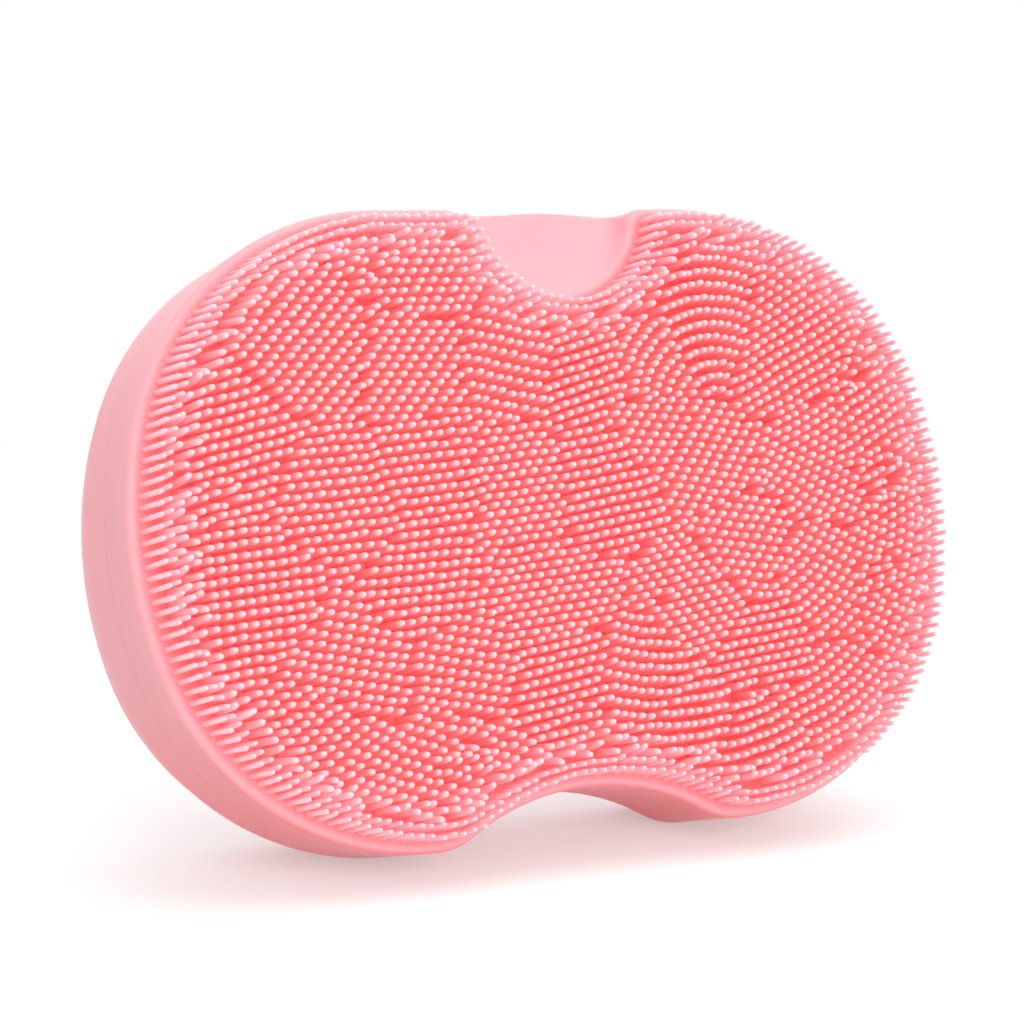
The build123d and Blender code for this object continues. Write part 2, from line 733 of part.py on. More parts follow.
export_step(board_parts.part, "parts/board_parts.step")
power_switch.part.label = "power_switch"
export_step(power_switch.part, "parts/power_switch.step")
status_led.part.label = "status_led"
export_step(status_led.part, "parts/status_led.step")
power_button.part.label = "power_button"
export_step(power_button.part, "parts/power_button.step")
switch_plunger.part.label = "switch_plunger"
export_step(switch_plunger.part, "parts/switch_plunger.step")
button_seal.part.label = "button_seal"
export_step(button_seal.part, "parts/button_seal.step")
light_guide.part.label = "light_guide"
export_step(light_guide.part, "parts/light_guide.step")
contact_block.part.label = "contact_block"
export_step(contact_block.part, "parts/contact_block.step")
charging_pins.part.label = "charging_pins"
export_step(charging_pins.part, "parts/charging_pins.step")
motor_lead_red.part.label = "motor_lead_red"
export_step(motor_lead_red.part, "parts/motor_lead_red.step")
motor_lead_black.part.label = "motor_lead_black"
export_step(motor_lead_black.part, "parts/motor_lead_black.step")
battery_lead_red.part.label = "battery_lead_red"
export_step(battery_lead_red.part, "parts/battery_lead_red.step")
battery_lead_black.part.label = "battery_lead_black"
export_step(battery_lead_black.part, "parts/battery_lead_black.step")
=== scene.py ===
import math
import random

import bmesh
import bpy
import numpy as np
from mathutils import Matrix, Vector, kdtree


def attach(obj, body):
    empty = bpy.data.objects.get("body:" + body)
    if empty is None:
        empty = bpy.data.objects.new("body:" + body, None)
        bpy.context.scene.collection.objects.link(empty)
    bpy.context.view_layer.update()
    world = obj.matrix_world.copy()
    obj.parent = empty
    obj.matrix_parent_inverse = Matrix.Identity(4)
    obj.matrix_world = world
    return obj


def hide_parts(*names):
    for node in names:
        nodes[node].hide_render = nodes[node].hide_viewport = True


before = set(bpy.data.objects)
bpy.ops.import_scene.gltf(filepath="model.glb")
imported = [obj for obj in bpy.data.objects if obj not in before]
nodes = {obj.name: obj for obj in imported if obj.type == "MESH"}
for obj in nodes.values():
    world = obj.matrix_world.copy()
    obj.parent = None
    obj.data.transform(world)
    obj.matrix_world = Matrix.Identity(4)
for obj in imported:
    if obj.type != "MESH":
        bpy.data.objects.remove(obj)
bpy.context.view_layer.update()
print("frame loaded,", len(nodes), "nodes")

mm = 0.001  # the sizes below are in millimetres

# the body's own sizes: x runs along the brush, y up its face, depth goes in from the face
body = dict(
    width=84.0,
    height=59.0,
    lobeWidth=52.7,
    shoulderRadius=25.85,
    hipRadius=7.0,       # below, between a lobe and the waist
    waistRadius=23.0,
    saddleRadius=3000.0,  # of the nearly straight top between the lobes
    wallDepth=12.5,
    depth=21.5,
    draft=14.0,          # of the back, and how far the brush leans
    backRadius=4.0,
    rimRadius=0.7,
    plateWall=1.5,       # thickness of the face and of the back
    sideWall=0.8,
    parting=6.2,         # where the two silicone covers meet
    partingRound=0.03,
    edgeHighlightDepth=5.0,        # painted highlight: the wall lightens over this depth towards the face
    faceCentre=(0.0, -7.597, 31.648),
)
# the thumb scoop fades out over its reach; columnStep spaces the outline's points along it
scoop = dict(x=2.4, radius=8.6, rise=0.5, reach=5.0, leftCorner=2.6, rightCorner=1.7, columnStep=0.42)
# the top between the lobes bulges behind the scoop, with a slight dip; on the drafted back only the
# share in back is left of it
bridge = dict(crown=1.1, back=0.45, ends=14.0, dip=0.55, dipX=-2.0, dipWidth=6.0)
# the openings through the back lie on its middle line
openings = dict(
    buttonY=4.0,
    buttonRadius=5.5,
    lightY=12.5,
    lightRadius=1.3,
    contactY=-7.0,
    contactWidth=13.2,
    contactHeight=5.8,
    edgeRound=0.35,
)

lean = math.radians(body["draft"])
acrossFace = Vector((1, 0, 0))
upFace = Vector((0, math.sin(lean), math.cos(lean)))
intoBody = Vector((0, math.cos(lean), -math.sin(lean)))


def spots(points, depth):
    # where points of the face lie in the scene; depth is one number or one for each point
    depth = np.broadcast_to(depth, (len(points),))
    place = np.array(body["faceCentre"]) + np.outer(points[:, 0], acrossFace)
    place += np.outer(points[:, 1], upFace) + np.outer(depth, intoBody)
    return place * mm


def notchDrop(x):
    # how far the scoop takes the top of the outline down at the face: a round floor with rounded corners
    radius, rise = scoop["radius"], scoop["rise"]
    corner = np.where(x > scoop["x"], scoop["rightCorner"], scoop["leftCorner"])
    away = np.abs(x - scoop["x"])
    cornerAt = np.sqrt((radius + corner) ** 2 - (rise + corner) ** 2)
    floor = np.sqrt(np.clip(radius**2 - away**2, 0, None)) - rise
    lip = corner - np.sqrt(np.clip(corner**2 - (cornerAt - away) ** 2, 0, None))
    return np.where(away < cornerAt * radius / (radius + corner), floor, np.where(away < cornerAt, lip, 0))


def bridgeColumns(end):
    # places along the bridge between the lobes, evenly spaced along the scoop's edge
    x = np.linspace(-end, end, 6000)
    way = np.cumsum(np.hypot(np.diff(x), np.diff(notchDrop(x))))
    count = int(way[-1] / scoop["columnStep"])
    return np.interp(np.linspace(0, way[-1], count), np.append(0, way), x)


def arcPoints(centre, radius, start, end, step=0.8, outwards=1):
    count = max(2, int(abs(end - start) * radius / step) + 1)
    angles = np.linspace(start, end, count)
    ray = np.stack([np.cos(angles), np.sin(angles)], 1)
    return np.array(centre) + ray * radius, ray * outwards


def peanutOutline():
    # the outline in arcs: the bridge from left to right, the right half, and its mirror image
    halfWidth, halfHeight = body["width"] / 2, body["height"] / 2
    shoulder, reach = body["shoulderRadius"], body["lobeWidth"] / 2
    hip, waist = body["hipRadius"], body["waistRadius"]
    shoulderX, shoulderY = halfWidth - reach, halfHeight - shoulder
    sideRadius = (reach**2 + shoulderY**2 - shoulder**2) / (2 * (reach - shoulder))
    sideX = halfWidth - sideRadius
    hipY = hip - halfHeight
    waistY = hipY - math.sqrt((hip + waist) ** 2 - shoulderX**2)
    saddleY = shoulderY + math.sqrt((shoulder + body["saddleRadius"]) ** 2 - shoulderX**2)
    sideAngle = math.atan2(shoulderY, shoulderX - sideX)
    saddleAngle = math.atan2(saddleY - shoulderY, -shoulderX)
    waistAngle = math.atan2(waistY - hipY, -shoulderX)

    x = bridgeColumns(shoulderX + shoulder * math.cos(saddleAngle))
    y = saddleY - np.sqrt(body["saddleRadius"] ** 2 - x**2)
    top = np.stack([x, y], 1), np.stack([-x, saddleY - y], 1) / body["saddleRadius"]
    half = [
        arcPoints((shoulderX, shoulderY), shoulder, saddleAngle, sideAngle),
        arcPoints((sideX, 0), sideRadius, sideAngle, -sideAngle, step=0.9),
        arcPoints((shoulderX, -shoulderY), shoulder, -sideAngle, -math.pi / 2),
        arcPoints((shoulderX, hipY), hip, -math.pi / 2, waistAngle, step=0.7),
        arcPoints((0, waistY), waist, waistAngle + math.pi, math.pi / 2, outwards=-1),
    ]
    right = [np.concatenate([run[side][1:] for run in half]) for side in (0, 1)]
    mirror = np.array([-1, 1])
    return [np.concatenate([top[side], right[side], right[side][-2::-1] * mirror]) for side in (0, 1)]


basePoints, baseNormals = peanutOutline()
onBridge = (basePoints[:, 1] > body["height"] / 3) & (np.abs(basePoints[:, 0]) < body["width"] / 4)
baseDrop = np.where(onBridge, notchDrop(basePoints[:, 0]), 0)
crownEnds = np.clip(1 - (basePoints[:, 0] / bridge["ends"]) ** 2, 0, 1) ** 2
crownDip = bridge["dip"] * np.exp(-(((basePoints[:, 0] - bridge["dipX"]) / bridge["dipWidth"]) ** 2))
baseCrown = np.where(onBridge, crownEnds * (bridge["crown"] - crownDip), 0)
backPoints = basePoints + np.stack([np.zeros(len(basePoints)), baseCrown * bridge["back"]], 1)


def outwardNormals(outline):
    ahead = np.roll(outline, -1, 0) - np.roll(outline, 1, 0)
    return np.stack([-ahead[:, 1], ahead[:, 0]], 1) / np.linalg.norm(ahead, axis=1)[:, None]


def outlineAt(depth, inset=0.0):
    # the cover's outline at a depth, drawn a distance inside its outer surface
    if depth > body["wallDepth"]:
        inset += (depth - body["wallDepth"]) * math.tan(lean)
        return backPoints - baseNormals * inset
    points = basePoints.copy()
    reached = min(1.0, max(0.0, depth / scoop["reach"]))
    fade = 1 - reached * reached * (3 - 2 * reached)
    crown = baseCrown * np.interp(depth, (scoop["reach"], body["wallDepth"]), (1, bridge["back"]))
    points[:, 1] += crown * (1 - fade) - baseDrop * fade
    return points - outwardNormals(points) * inset


def ringAt(inset, depth):
    return spots(outlineAt(depth, inset), depth)


def distanceInside(points, outline):
    # shortest way from each point to the outline
    start, end = outline, np.roll(outline, -1, 0)
    run = end - start
    away = points[:, None, :] - start[None]
    share = np.clip((away * run).sum(2) / (run * run).sum(1), 0, 1)
    return np.sqrt(((away - share[:, :, None] * run) ** 2).sum(2)).min(1)


def insideOutline(points, outline):
    start, end = outline, np.roll(outline, -1, 0)
    x, y = points[:, 0, None], points[:, 1, None]
    spans = (start[:, 1] > y) != (end[:, 1] > y)
    with np.errstate(divide="ignore", invalid="ignore"):
        crossing = start[:, 0] + (y - start[:, 1]) * (end[:, 0] - start[:, 0]) / (end[:, 1] - start[:, 1])
    return ((x < crossing) & spans).sum(1) % 2 == 1


# modelling helpers
def startPiece(name, count):
    bpy.ops.object.select_all(action="DESELECT")
    bpy.ops.mesh.primitive_circle_add(vertices=count, radius=mm)
    piece = bpy.context.object
    piece.name = piece.data.name = name
    bpy.ops.object.mode_set(mode="EDIT")
    return piece


def placeSelected(piece, ring):
    mesh = bmesh.from_edit_mesh(piece.data)
    column = mesh.verts.layers.int["column"]
    for v in mesh.verts:
        if v.select:
            v.co = ring[v[column]]
    bmesh.update_edit_mesh(piece.data)


def extrudeRings(piece, rings):
    # the circle's points take their places on the first ring, and each extrusion's on the next
    mesh = bmesh.from_edit_mesh(piece.data)
    column = mesh.verts.layers.int.new("column")
    mesh.verts.ensure_lookup_table()
    for i, v in enumerate(mesh.verts):
        v[column] = i
    placeSelected(piece, rings[0])
    for ring in rings[1:]:
        bpy.ops.mesh.extrude_edges_move()
        placeSelected(piece, ring)


def finishShell():
    bpy.ops.mesh.select_all(action="SELECT")
    bpy.ops.mesh.normals_make_consistent(inside=False)
    bpy.ops.mesh.select_all(action="DESELECT")
    bpy.ops.object.mode_set(mode="OBJECT")
    bpy.ops.object.shade_smooth_by_angle(angle=math.radians(40))


def pointValues(piece, name, values):
    attribute = piece.data.attributes.new(name, "FLOAT", "POINT")
    attribute.data.foreach_set("value", np.asarray(values, np.float32))


def faceCoordinates(piece):
    # each vertex as x, y and depth, in millimetres
    co = np.zeros(len(piece.data.vertices) * 3, np.float32)
    piece.data.vertices.foreach_get("co", co)
    away = co.reshape(-1, 3) / mm - np.array(body["faceCentre"])
    return np.stack([away @ np.array(acrossFace), away @ np.array(upFace), away @ np.array(intoBody)], 1)


def shadeValues(piece):
    # how far each vertex faces the floor, and how near it lies to the front edge of the wall: masks for the
    # painted shade underneath and the painted highlight near the face
    normals = np.zeros(len(piece.data.vertices) * 3, np.float32)
    piece.data.vertex_normals.foreach_get("vector", normals)
    pointValues(piece, "under", np.clip(-normals.reshape(-1, 3)[:, 2], 0, 1))
    depth = faceCoordinates(piece)[:, 2]
    pointValues(piece, "nearEdge", np.clip(1 - depth / body["edgeHighlightDepth"], 0, 1))


def turnOutwards(piece):
    # a closed shell whose volume comes out negative is inside out
    mesh = bmesh.new()
    mesh.from_mesh(piece.data)
    if mesh.calc_volume(signed=True) < 0:
        bmesh.ops.reverse_faces(mesh, faces=mesh.faces)
        mesh.to_mesh(piece.data)
    mesh.free()


# front cover: bristle plate, rolled rim and the front half of the wall
frontCover = dict(
    rimSteps=7,
    wallRows=(1.1, 1.7, 2.4, 3.1, 3.8, 4.5, 5.1, 5.6),
    innerRows=(4.4, 2.8),
    plateRows=(1.0, 0.72, 0.5, 0.33, 0.2, 0.1, 0.04),  # shares of the way in from the rim
    plateReach=0.45,     # the innermost row is this share of the way to the spine
    spineHalf=20.0,      # the spine runs along the middle of the face
)


def partingEdge(direction):
    # rounded corner of a cover where it meets the other one; direction is 1 behind the parting
    r = body["partingRound"]
    steps = np.radians((0, 30, 60, 90))
    return [(r * (1 - math.cos(a)), body["parting"] + direction * r * (1 - math.sin(a))) for a in steps]


def makeFrontCover():
    rim = body["rimRadius"]
    plateEdge = outlineAt(0, rim)
    spineX = np.clip(plateEdge[:, 0] / 2, -frontCover["spineHalf"], frontCover["spineHalf"])
    spine = np.stack([spineX, np.zeros(len(plateEdge))], 1)
    rings = []
    for share in frontCover["plateRows"]:
        rings.append(spots(plateEdge + (spine - plateEdge) * share * frontCover["plateReach"], 0))
    for step in range(frontCover["rimSteps"] + 1):
        turn = math.pi / 2 * step / frontCover["rimSteps"]
        rings.append(ringAt(rim * (1 - math.sin(turn)), rim * (1 - math.cos(turn))))
    rings += [ringAt(0, depth) for depth in frontCover["wallRows"]]
    rings += [ringAt(inset, depth) for inset, depth in partingEdge(-1)]
    innerDepths = (body["parting"], *frontCover["innerRows"], body["plateWall"])
    rings += [ringAt(body["sideWall"], depth) for depth in innerDepths]
    piece = startPiece("brush_cover", len(basePoints))
    extrudeRings(piece, rings)
    bpy.ops.mesh.edge_face_add()
    bpy.ops.mesh.select_all(action="DESELECT")
    bpy.ops.mesh.select_non_manifold()
    bpy.ops.mesh.edge_face_add()
    finishShell()
    turnOutwards(piece)
    at = faceCoordinates(piece)
    onPlate = at[:, 2] < body["rimRadius"] * 0.7
    fromEdge = np.where(onPlate, distanceInside(at[:, :2].astype(float), outlineAt(0)), 0)
    pointValues(piece, "inFromOutline", fromEdge)  # how far in from the outline; deeper in, the plate takes a painted shade between the bristles
    shadeValues(piece)
    return piece


# rear cover: the rest of the wall, the drafted back and its openings
rearCover = dict(
    wallRows=(6.6, 7.2, 8.2, 9.6, 11.2, 12.3),
    innerRows=(12.3, 9.0),
    draftRows=(12.7, 14.0, 16.0, 18.0),
    cornerSteps=10,
    holeSteps=4,         # over the rounded edge of an opening
)


def backCorner(inset):
    # the rounding between the drafted wall and the back face, as inset and depth
    radius = body["backRadius"] - inset
    centreDepth = body["depth"] - body["backRadius"]
    along = centreDepth + body["backRadius"] * math.sin(lean) - body["wallDepth"]
    centreInset = along * math.tan(lean) + body["backRadius"] * math.cos(lean)
    turns = np.linspace(lean, math.pi / 2, rearCover["cornerSteps"] + 1)
    return [(centreInset - radius * math.cos(t), centreDepth + radius * math.sin(t)) for t in turns]


def plainRing(inset, depth):
    # the back's rings count their inset from the wall, without the draft
    return spots(backPoints - baseNormals * inset, depth)


def slotLoop(width, height, count):
    half = (width - height) / 2
    angles = np.linspace(0, 2 * math.pi, count, endpoint=False) + math.pi / count
    ray = np.stack([np.cos(angles), np.sin(angles)], 1)
    return ray * height / 2 + np.stack([np.where(ray[:, 0] > 0, half, -half), np.zeros(count)], 1), ray


def makeRearCover():
    wall = body["sideWall"]
    innerDepth = body["depth"] - body["plateWall"]
    inner = [plainRing(*corner) for corner in reversed(backCorner(body["plateWall"]))]
    inner += [ringAt(wall, depth) for depth in (*rearCover["innerRows"], body["parting"])]
    outer = [ringAt(inset, depth) for inset, depth in reversed(partingEdge(1))]
    outer += [ringAt(0, depth) for depth in rearCover["wallRows"]]
    draft = math.tan(lean)
    outer += [plainRing((d - body["wallDepth"]) * draft, d) for d in rearCover["draftRows"]]
    outer += [plainRing(*corner) for corner in backCorner(0)]
    piece = startPiece("grip_cover", len(basePoints))
    extrudeRings(piece, inner + outer)

    # each opening is a loop on the back face, rolled in over its edge and taken through the wall
    r = openings["edgeRound"]
    button, light = 2 * openings["buttonRadius"], 2 * openings["lightRadius"]
    holes = [
        (slotLoop(button, button, 64), openings["buttonY"]),
        (slotLoop(light, light, 24), openings["lightY"]),
        (slotLoop(openings["contactWidth"], openings["contactHeight"], 56), openings["contactY"]),
    ]
    for (loop, ray), height in holes:
        bpy.ops.mesh.select_all(action="DESELECT")
        bpy.ops.mesh.primitive_circle_add(vertices=len(loop), radius=mm)
        mesh = bmesh.from_edit_mesh(piece.data)
        column = mesh.verts.layers.int["column"]
        for i, v in enumerate([v for v in mesh.verts if v.select]):
            v[column] = i
        middle = np.array([0, height])
        for turn in np.linspace(0, math.pi / 2, rearCover["holeSteps"] + 1):
            grown = loop + ray * r * (1 - math.sin(turn)) + middle
            if turn:
                bpy.ops.mesh.extrude_edges_move()
            placeSelected(piece, spots(grown, body["depth"] - r * (1 - math.cos(turn))))
        bpy.ops.mesh.extrude_edges_move()
        placeSelected(piece, spots(loop + middle, innerDepth))

    # the open loops of the back face and of its inside are each filled round the openings
    for depth in (body["depth"], innerDepth):
        bpy.ops.mesh.select_all(action="DESELECT")
        mesh = bmesh.from_edit_mesh(piece.data)
        for edge in mesh.edges:
            middle = (edge.verts[0].co + edge.verts[1].co) / 2 / mm - Vector(body["faceCentre"])
            if len(edge.link_faces) < 2 and abs(middle.dot(intoBody) - depth) < 0.01:
                edge.select_set(True)
        bmesh.update_edit_mesh(piece.data)
        bpy.ops.mesh.fill(use_beauty=True)
    finishShell()
    turnOutwards(piece)
    shadeValues(piece)
    return piece


brushCover = makeFrontCover()
gripCover = makeRearCover()
for piece, skin in ((brushCover, "brush_skin"), (gripCover, "grip_skin")):
    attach(piece, "body")
    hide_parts(skin)
print("covers made,", len(brushCover.data.polygons), "and", len(gripCover.data.polygons), "faces")

# bristles: two rows follow the rim, and the field inside them lies in patches of rows
bristle = dict(
    length=4.4,
    sides=8,
    sink=0.2,            # the foot lies this deep in the plate
    # height and radius, from the foot to the rounded tip
    fieldProfile=((0.0, 0.46), (0.8, 0.4), (2.0, 0.36), (3.1, 0.34), (3.85, 0.32), (4.17, 0.25),
                  (4.36, 0.13)),
    rimProfile=((0.0, 0.32), (0.5, 0.26), (2.0, 0.24), (3.2, 0.24), (3.9, 0.24), (4.2, 0.19),
                (4.37, 0.1)),
    gather=(0.13, 0.08),  # lean towards the middle, by this much at the ends, along x and y
    rowDistances=(1.3, 2.15),
    rimPitch=1.04,
    rimWithin=2.5,       # nearer to the edge, a bristle belongs to the rim's rows
    fieldFrom=2.75,
    fieldStart=3.0,
    looseBand=2.4,       # the field is ruffled this far in from its start
    looseShift=0.22,
    rimLoose=0.1,
    ruffleStrength=1.4,
    sway=0.015,
    looseSway=0.035,
    closest=0.78,
    rounds=3,            # of thinning, filling and pushing apart
    pushes=5,
    thinShare=0.82,      # of closest: nearer ones go
    pushShare=1.12,      # of closest: nearer ones are pushed apart
    gap=0.9856,          # this far from the nearest bristle, a new one goes in
    gapFrom=2.7,
    gapStep=0.3,         # between the places tried in a gap
    gapApart=0.8,        # of two new ones, as a squared distance
    pushStrength=0.45,
    # painted glow at the roots of the bristles and at their tips
    paintedGlow=0.22,
    tipGlow=0.05,
    seed=11,
)

# each patch: where it lies, the angle of its rows, their slant to the next row, the pitch along a
# row and between rows; about gives the middle of curved rows
patches = [
    dict(at=(-24, 2), angle=3, slant=50, pitch=1.16, rows=0.98),
    dict(at=(-33, 8), angle=12, slant=62, pitch=1.12, rows=1.0),
    dict(at=(-32, -5), angle=4, slant=88, pitch=1.12, rows=1.02),
    dict(at=(-25, 16), angle=46, slant=-50, pitch=1.0, rows=1.12),
    dict(at=(-15, 15), angle=50, slant=-52, pitch=1.0, rows=1.12),
    dict(at=(-13, 23), angle=58, slant=-58, pitch=1.05, rows=1.06),
    dict(at=(-14, 4), angle=4, slant=50, pitch=1.16, rows=0.98),
    dict(at=(-5, 15), angle=-13, slant=64, pitch=1.02, rows=1.2),
    dict(at=(-6, 3), angle=55, slant=-50, pitch=1.1, rows=0.98),
    dict(at=(4, 3), angle=8, slant=48, pitch=1.14, rows=0.98),
    dict(at=(3, 14), angle=14, slant=46, pitch=1.12, rows=0.98),
    dict(at=(-4, -8), angle=55, slant=-50, pitch=1.1, rows=0.98),
    dict(at=(-24, -12), angle=-12, slant=-46, pitch=1.15, rows=0.98),
    dict(at=(-13, -13), angle=-12, slant=-46, pitch=1.15, rows=0.98),
    dict(at=(-27, -19), about=(-15, -6), pitch=1.05, rows=1.06),
    dict(at=(-16, -6), angle=2, slant=72, pitch=1.14, rows=0.98),
    dict(at=(-15, -22), angle=-20, slant=60, pitch=1.1, rows=1.02),
    dict(at=(-3, -15), angle=8, slant=60, pitch=1.14, rows=0.98),
    dict(at=(16, 17), about=(16.5, 8.5), pitch=0.9, rows=1.28),
    dict(at=(9, 14), about=(16.5, 8.5), pitch=0.92, rows=1.2),
    dict(at=(24, 14), about=(16.5, 8.5), pitch=1.0, rows=1.14),
    dict(at=(27, 4), about=(16.5, 8.5), pitch=1.06, rows=1.06),
    dict(at=(26, -8), about=(14, 6), pitch=1.08, rows=1.04),
    dict(at=(14, 4), angle=52, slant=-62, pitch=0.96, rows=1.14),
    dict(at=(9, 7), angle=52, slant=-58, pitch=1.0, rows=1.1),
    dict(at=(12, -8), angle=-51, slant=60, pitch=0.9, rows=1.18),
    dict(at=(17, -4), angle=50, slant=-60, pitch=1.05, rows=1.06),
    dict(at=(5, -16), about=(9, 10), pitch=0.95, rows=1.14),
    dict(at=(9, -21), about=(9, 12), pitch=0.93, rows=1.16),
    dict(at=(19, -14), angle=6, slant=56, pitch=1.14, rows=0.98),
    dict(at=(17, -23), about=(12, 0), pitch=0.95, rows=1.14),
    dict(at=(25, -19), about=(16, 0), pitch=1.05, rows=1.06),
    dict(at=(7, 22), angle=62, slant=-60, pitch=1.05, rows=1.06),
    dict(at=(34, 6), about=(14, 2), pitch=1.05, rows=1.06),
    dict(at=(34, -9), about=(14, 2), pitch=1.05, rows=1.06),
]
# places where the rows are ruffled, as x, y and radius
ruffles = [(-1.5, 8, 1.6), (17, -17, 2.0), (-14, -21, 4.5), (0, -20, 3.5), (-19, 24, 4.0), (14, 24, 3.0),
           (-34, 4, 2.5), (35, 2, 4.0), (33, 13, 4.0), (33, -8, 3.5), (8, -9, 1.2)]


def rowPoints(patch, reach=17):
    # the patch's rows over a square round its place
    middle = np.array(patch["at"], float)
    pitch, rows = patch["pitch"], patch["rows"]
    if "about" in patch:
        about = np.array(patch["about"], float)
        far = np.linalg.norm(middle - about)
        found = []
        for k in range(max(1, int((far - reach) / rows)), int((far + reach) / rows) + 1):
            count = max(6, round(2 * math.pi * k * rows / pitch))
            angles = (np.arange(count) + 0.5 * (k % 2)) * 2 * math.pi / count
            found.append(about + k * rows * np.stack([np.cos(angles), np.sin(angles)], 1))
        return np.concatenate(found)
    angle, slant = math.radians(patch["angle"]), math.radians(patch["slant"])
    along = np.array([math.cos(angle), math.sin(angle)])
    across = np.array([-math.sin(angle), math.cos(angle)])
    shift = rows / math.tan(slant)
    most = math.ceil(reach * math.sqrt(2) / min(pitch, rows))
    k, i = np.meshgrid(np.arange(-most, most + 1), np.arange(-most, most + 1), indexing="ij")
    offset = (i * pitch + (k * shift) % pitch).reshape(-1, 1) * along
    return middle + offset + (k * rows).reshape(-1, 1) * across


def loosenessAt(points, deepIn):
    # 0 where the rows are neat, up to 1 where the field starts and in the ruffles
    loose = np.clip(1 - (deepIn - bristle["fieldStart"]) / bristle["looseBand"], 0, 1)
    loose[deepIn < bristle["rimWithin"]] = bristle["rimLoose"]
    strength = bristle["ruffleStrength"]
    for x, y, radius in ruffles:
        away = np.linalg.norm(points - (x, y), axis=1)
        loose = np.maximum(loose, np.clip(strength - strength * away / radius, 0, 1))
    return loose


def plantField(outline):
    draw = random.Random(bristle["seed"])
    seeds = np.array([p["at"] for p in patches], float)
    planted = []
    for number, patch in enumerate(patches):
        points = rowPoints(patch)
        nearest = np.linalg.norm(points[:, None] - seeds[None], axis=2).argmin(1)
        planted.append(points[nearest == number])
    points = np.concatenate(planted)
    keep = insideOutline(points, outline) & (distanceInside(points, outline) > bristle["fieldFrom"])
    points = points[keep]

    rim = np.concatenate([rimRow(outline, d, 0.5 * (i % 2)) for i, d in enumerate(bristle["rowDistances"])])
    loose = loosenessAt(points, distanceInside(points, outline))
    shift = np.array([[draw.gauss(0, 1), draw.gauss(0, 1)] for p in points]) * bristle["looseShift"]
    points += shift * loose[:, None]

    # neighbours of different patches are thinned, pushed apart, and gaps between them filled
    for turn in range(bristle["rounds"]):
        points = thinOut(points, rim, bristle["closest"] * bristle["thinShare"])
        points = fillGaps(points, rim, outline)
        for push in range(bristle["pushes"]):
            points = pushApart(points, rim)
    return points, rim


def rimRow(outline, distance, phase):
    # evenly spaced along the outline, drawn that far inside
    row = outline - outwardNormals(outline) * distance
    row = row[distanceInside(row, outline) > distance - 0.12]
    row = np.concatenate([row, row[:1]])
    lengths = np.concatenate([[0], np.cumsum(np.linalg.norm(np.diff(row, axis=0), axis=1))])
    count = round(lengths[-1] / bristle["rimPitch"])
    stops = (np.arange(count) + phase) * lengths[-1] / count
    return np.stack([np.interp(stops, lengths, row[:, 0]), np.interp(stops, lengths, row[:, 1])], 1)


def treeOf(points):
    tree = kdtree.KDTree(len(points))
    for i, p in enumerate(points):
        tree.insert((p[0], p[1], 0), i)
    tree.balance()
    return tree


def thinOut(points, rim, closest):
    tree = treeOf(points)
    rimTree = treeOf(rim)
    gone = set()
    for i, p in enumerate(points):
        if i in gone:
            continue
        if rimTree.find((p[0], p[1], 0))[2] < closest:
            gone.add(i)
            continue
        gone.update(j for c, j, d in tree.find_range((p[0], p[1], 0), closest) if j > i)
    return np.array([p for i, p in enumerate(points) if i not in gone])


def fillGaps(points, rim, outline):
    halfWidth, halfHeight = body["width"] / 2 - 1, body["height"] / 2 - 0.5
    step = bristle["gapStep"]
    xs, ys = np.meshgrid(np.arange(-halfWidth, halfWidth, step), np.arange(-halfHeight, halfHeight, step))
    trial = np.stack([xs.ravel(), ys.ravel()], 1)
    trial = trial[insideOutline(trial, outline)]
    trial = trial[distanceInside(trial, outline) > bristle["gapFrom"]]
    tree = treeOf(np.concatenate([points, rim]))
    room = [(tree.find((p[0], p[1], 0))[2], p) for p in trial]
    room = sorted((r for r in room if r[0] > bristle["gap"]), key=lambda r: -r[0])
    added = []
    for r, p in room:
        if all((p[0] - q[0]) ** 2 + (p[1] - q[1]) ** 2 > bristle["gapApart"] for q in added):
            added.append(p)
    return np.concatenate([points, np.array(added)]) if added else points


def pushApart(points, rim):
    tree = treeOf(np.concatenate([points, rim]))
    reach = bristle["closest"] * bristle["pushShare"]
    moved = points.copy()
    for i, p in enumerate(points):
        push = np.zeros(2)
        for c, j, d in tree.find_range((p[0], p[1], 0), reach):
            if j != i and d > 1e-6:
                push += (p - np.array(c[:2])) / d * (reach - d)
        moved[i] = p + bristle["pushStrength"] * push
    return moved


def modelBristle(profile):
    # one bristle: a disc drawn up and narrowed to its rounded tip, along +Z
    first = profile[0][1]
    bpy.ops.object.select_all(action="DESELECT")
    bpy.ops.mesh.primitive_circle_add(vertices=bristle["sides"], radius=first * mm, fill_type="NGON",
                                      location=(0, 0, -bristle["sink"] * mm))
    piece = bpy.context.object
    bpy.ops.object.transform_apply(location=True)
    bpy.ops.object.mode_set(mode="EDIT")
    height, width = -bristle["sink"], first
    for rise, radius in profile[1:]:
        bpy.ops.mesh.extrude_region_move(TRANSFORM_OT_translate={"value": (0, 0, (rise - height) * mm)})
        narrower = radius / width
        bpy.ops.transform.resize(value=(narrower, narrower, 1), center_override=(0, 0, rise * mm))
        height, width = rise, radius
    bpy.ops.mesh.select_all(action="SELECT")
    bpy.ops.mesh.normals_make_consistent(inside=False)
    bpy.ops.object.mode_set(mode="OBJECT")
    corners = np.array([v.co for v in piece.data.vertices]) / mm
    faces = [list(p.vertices) for p in piece.data.polygons]
    bpy.data.objects.remove(piece)
    return corners, faces


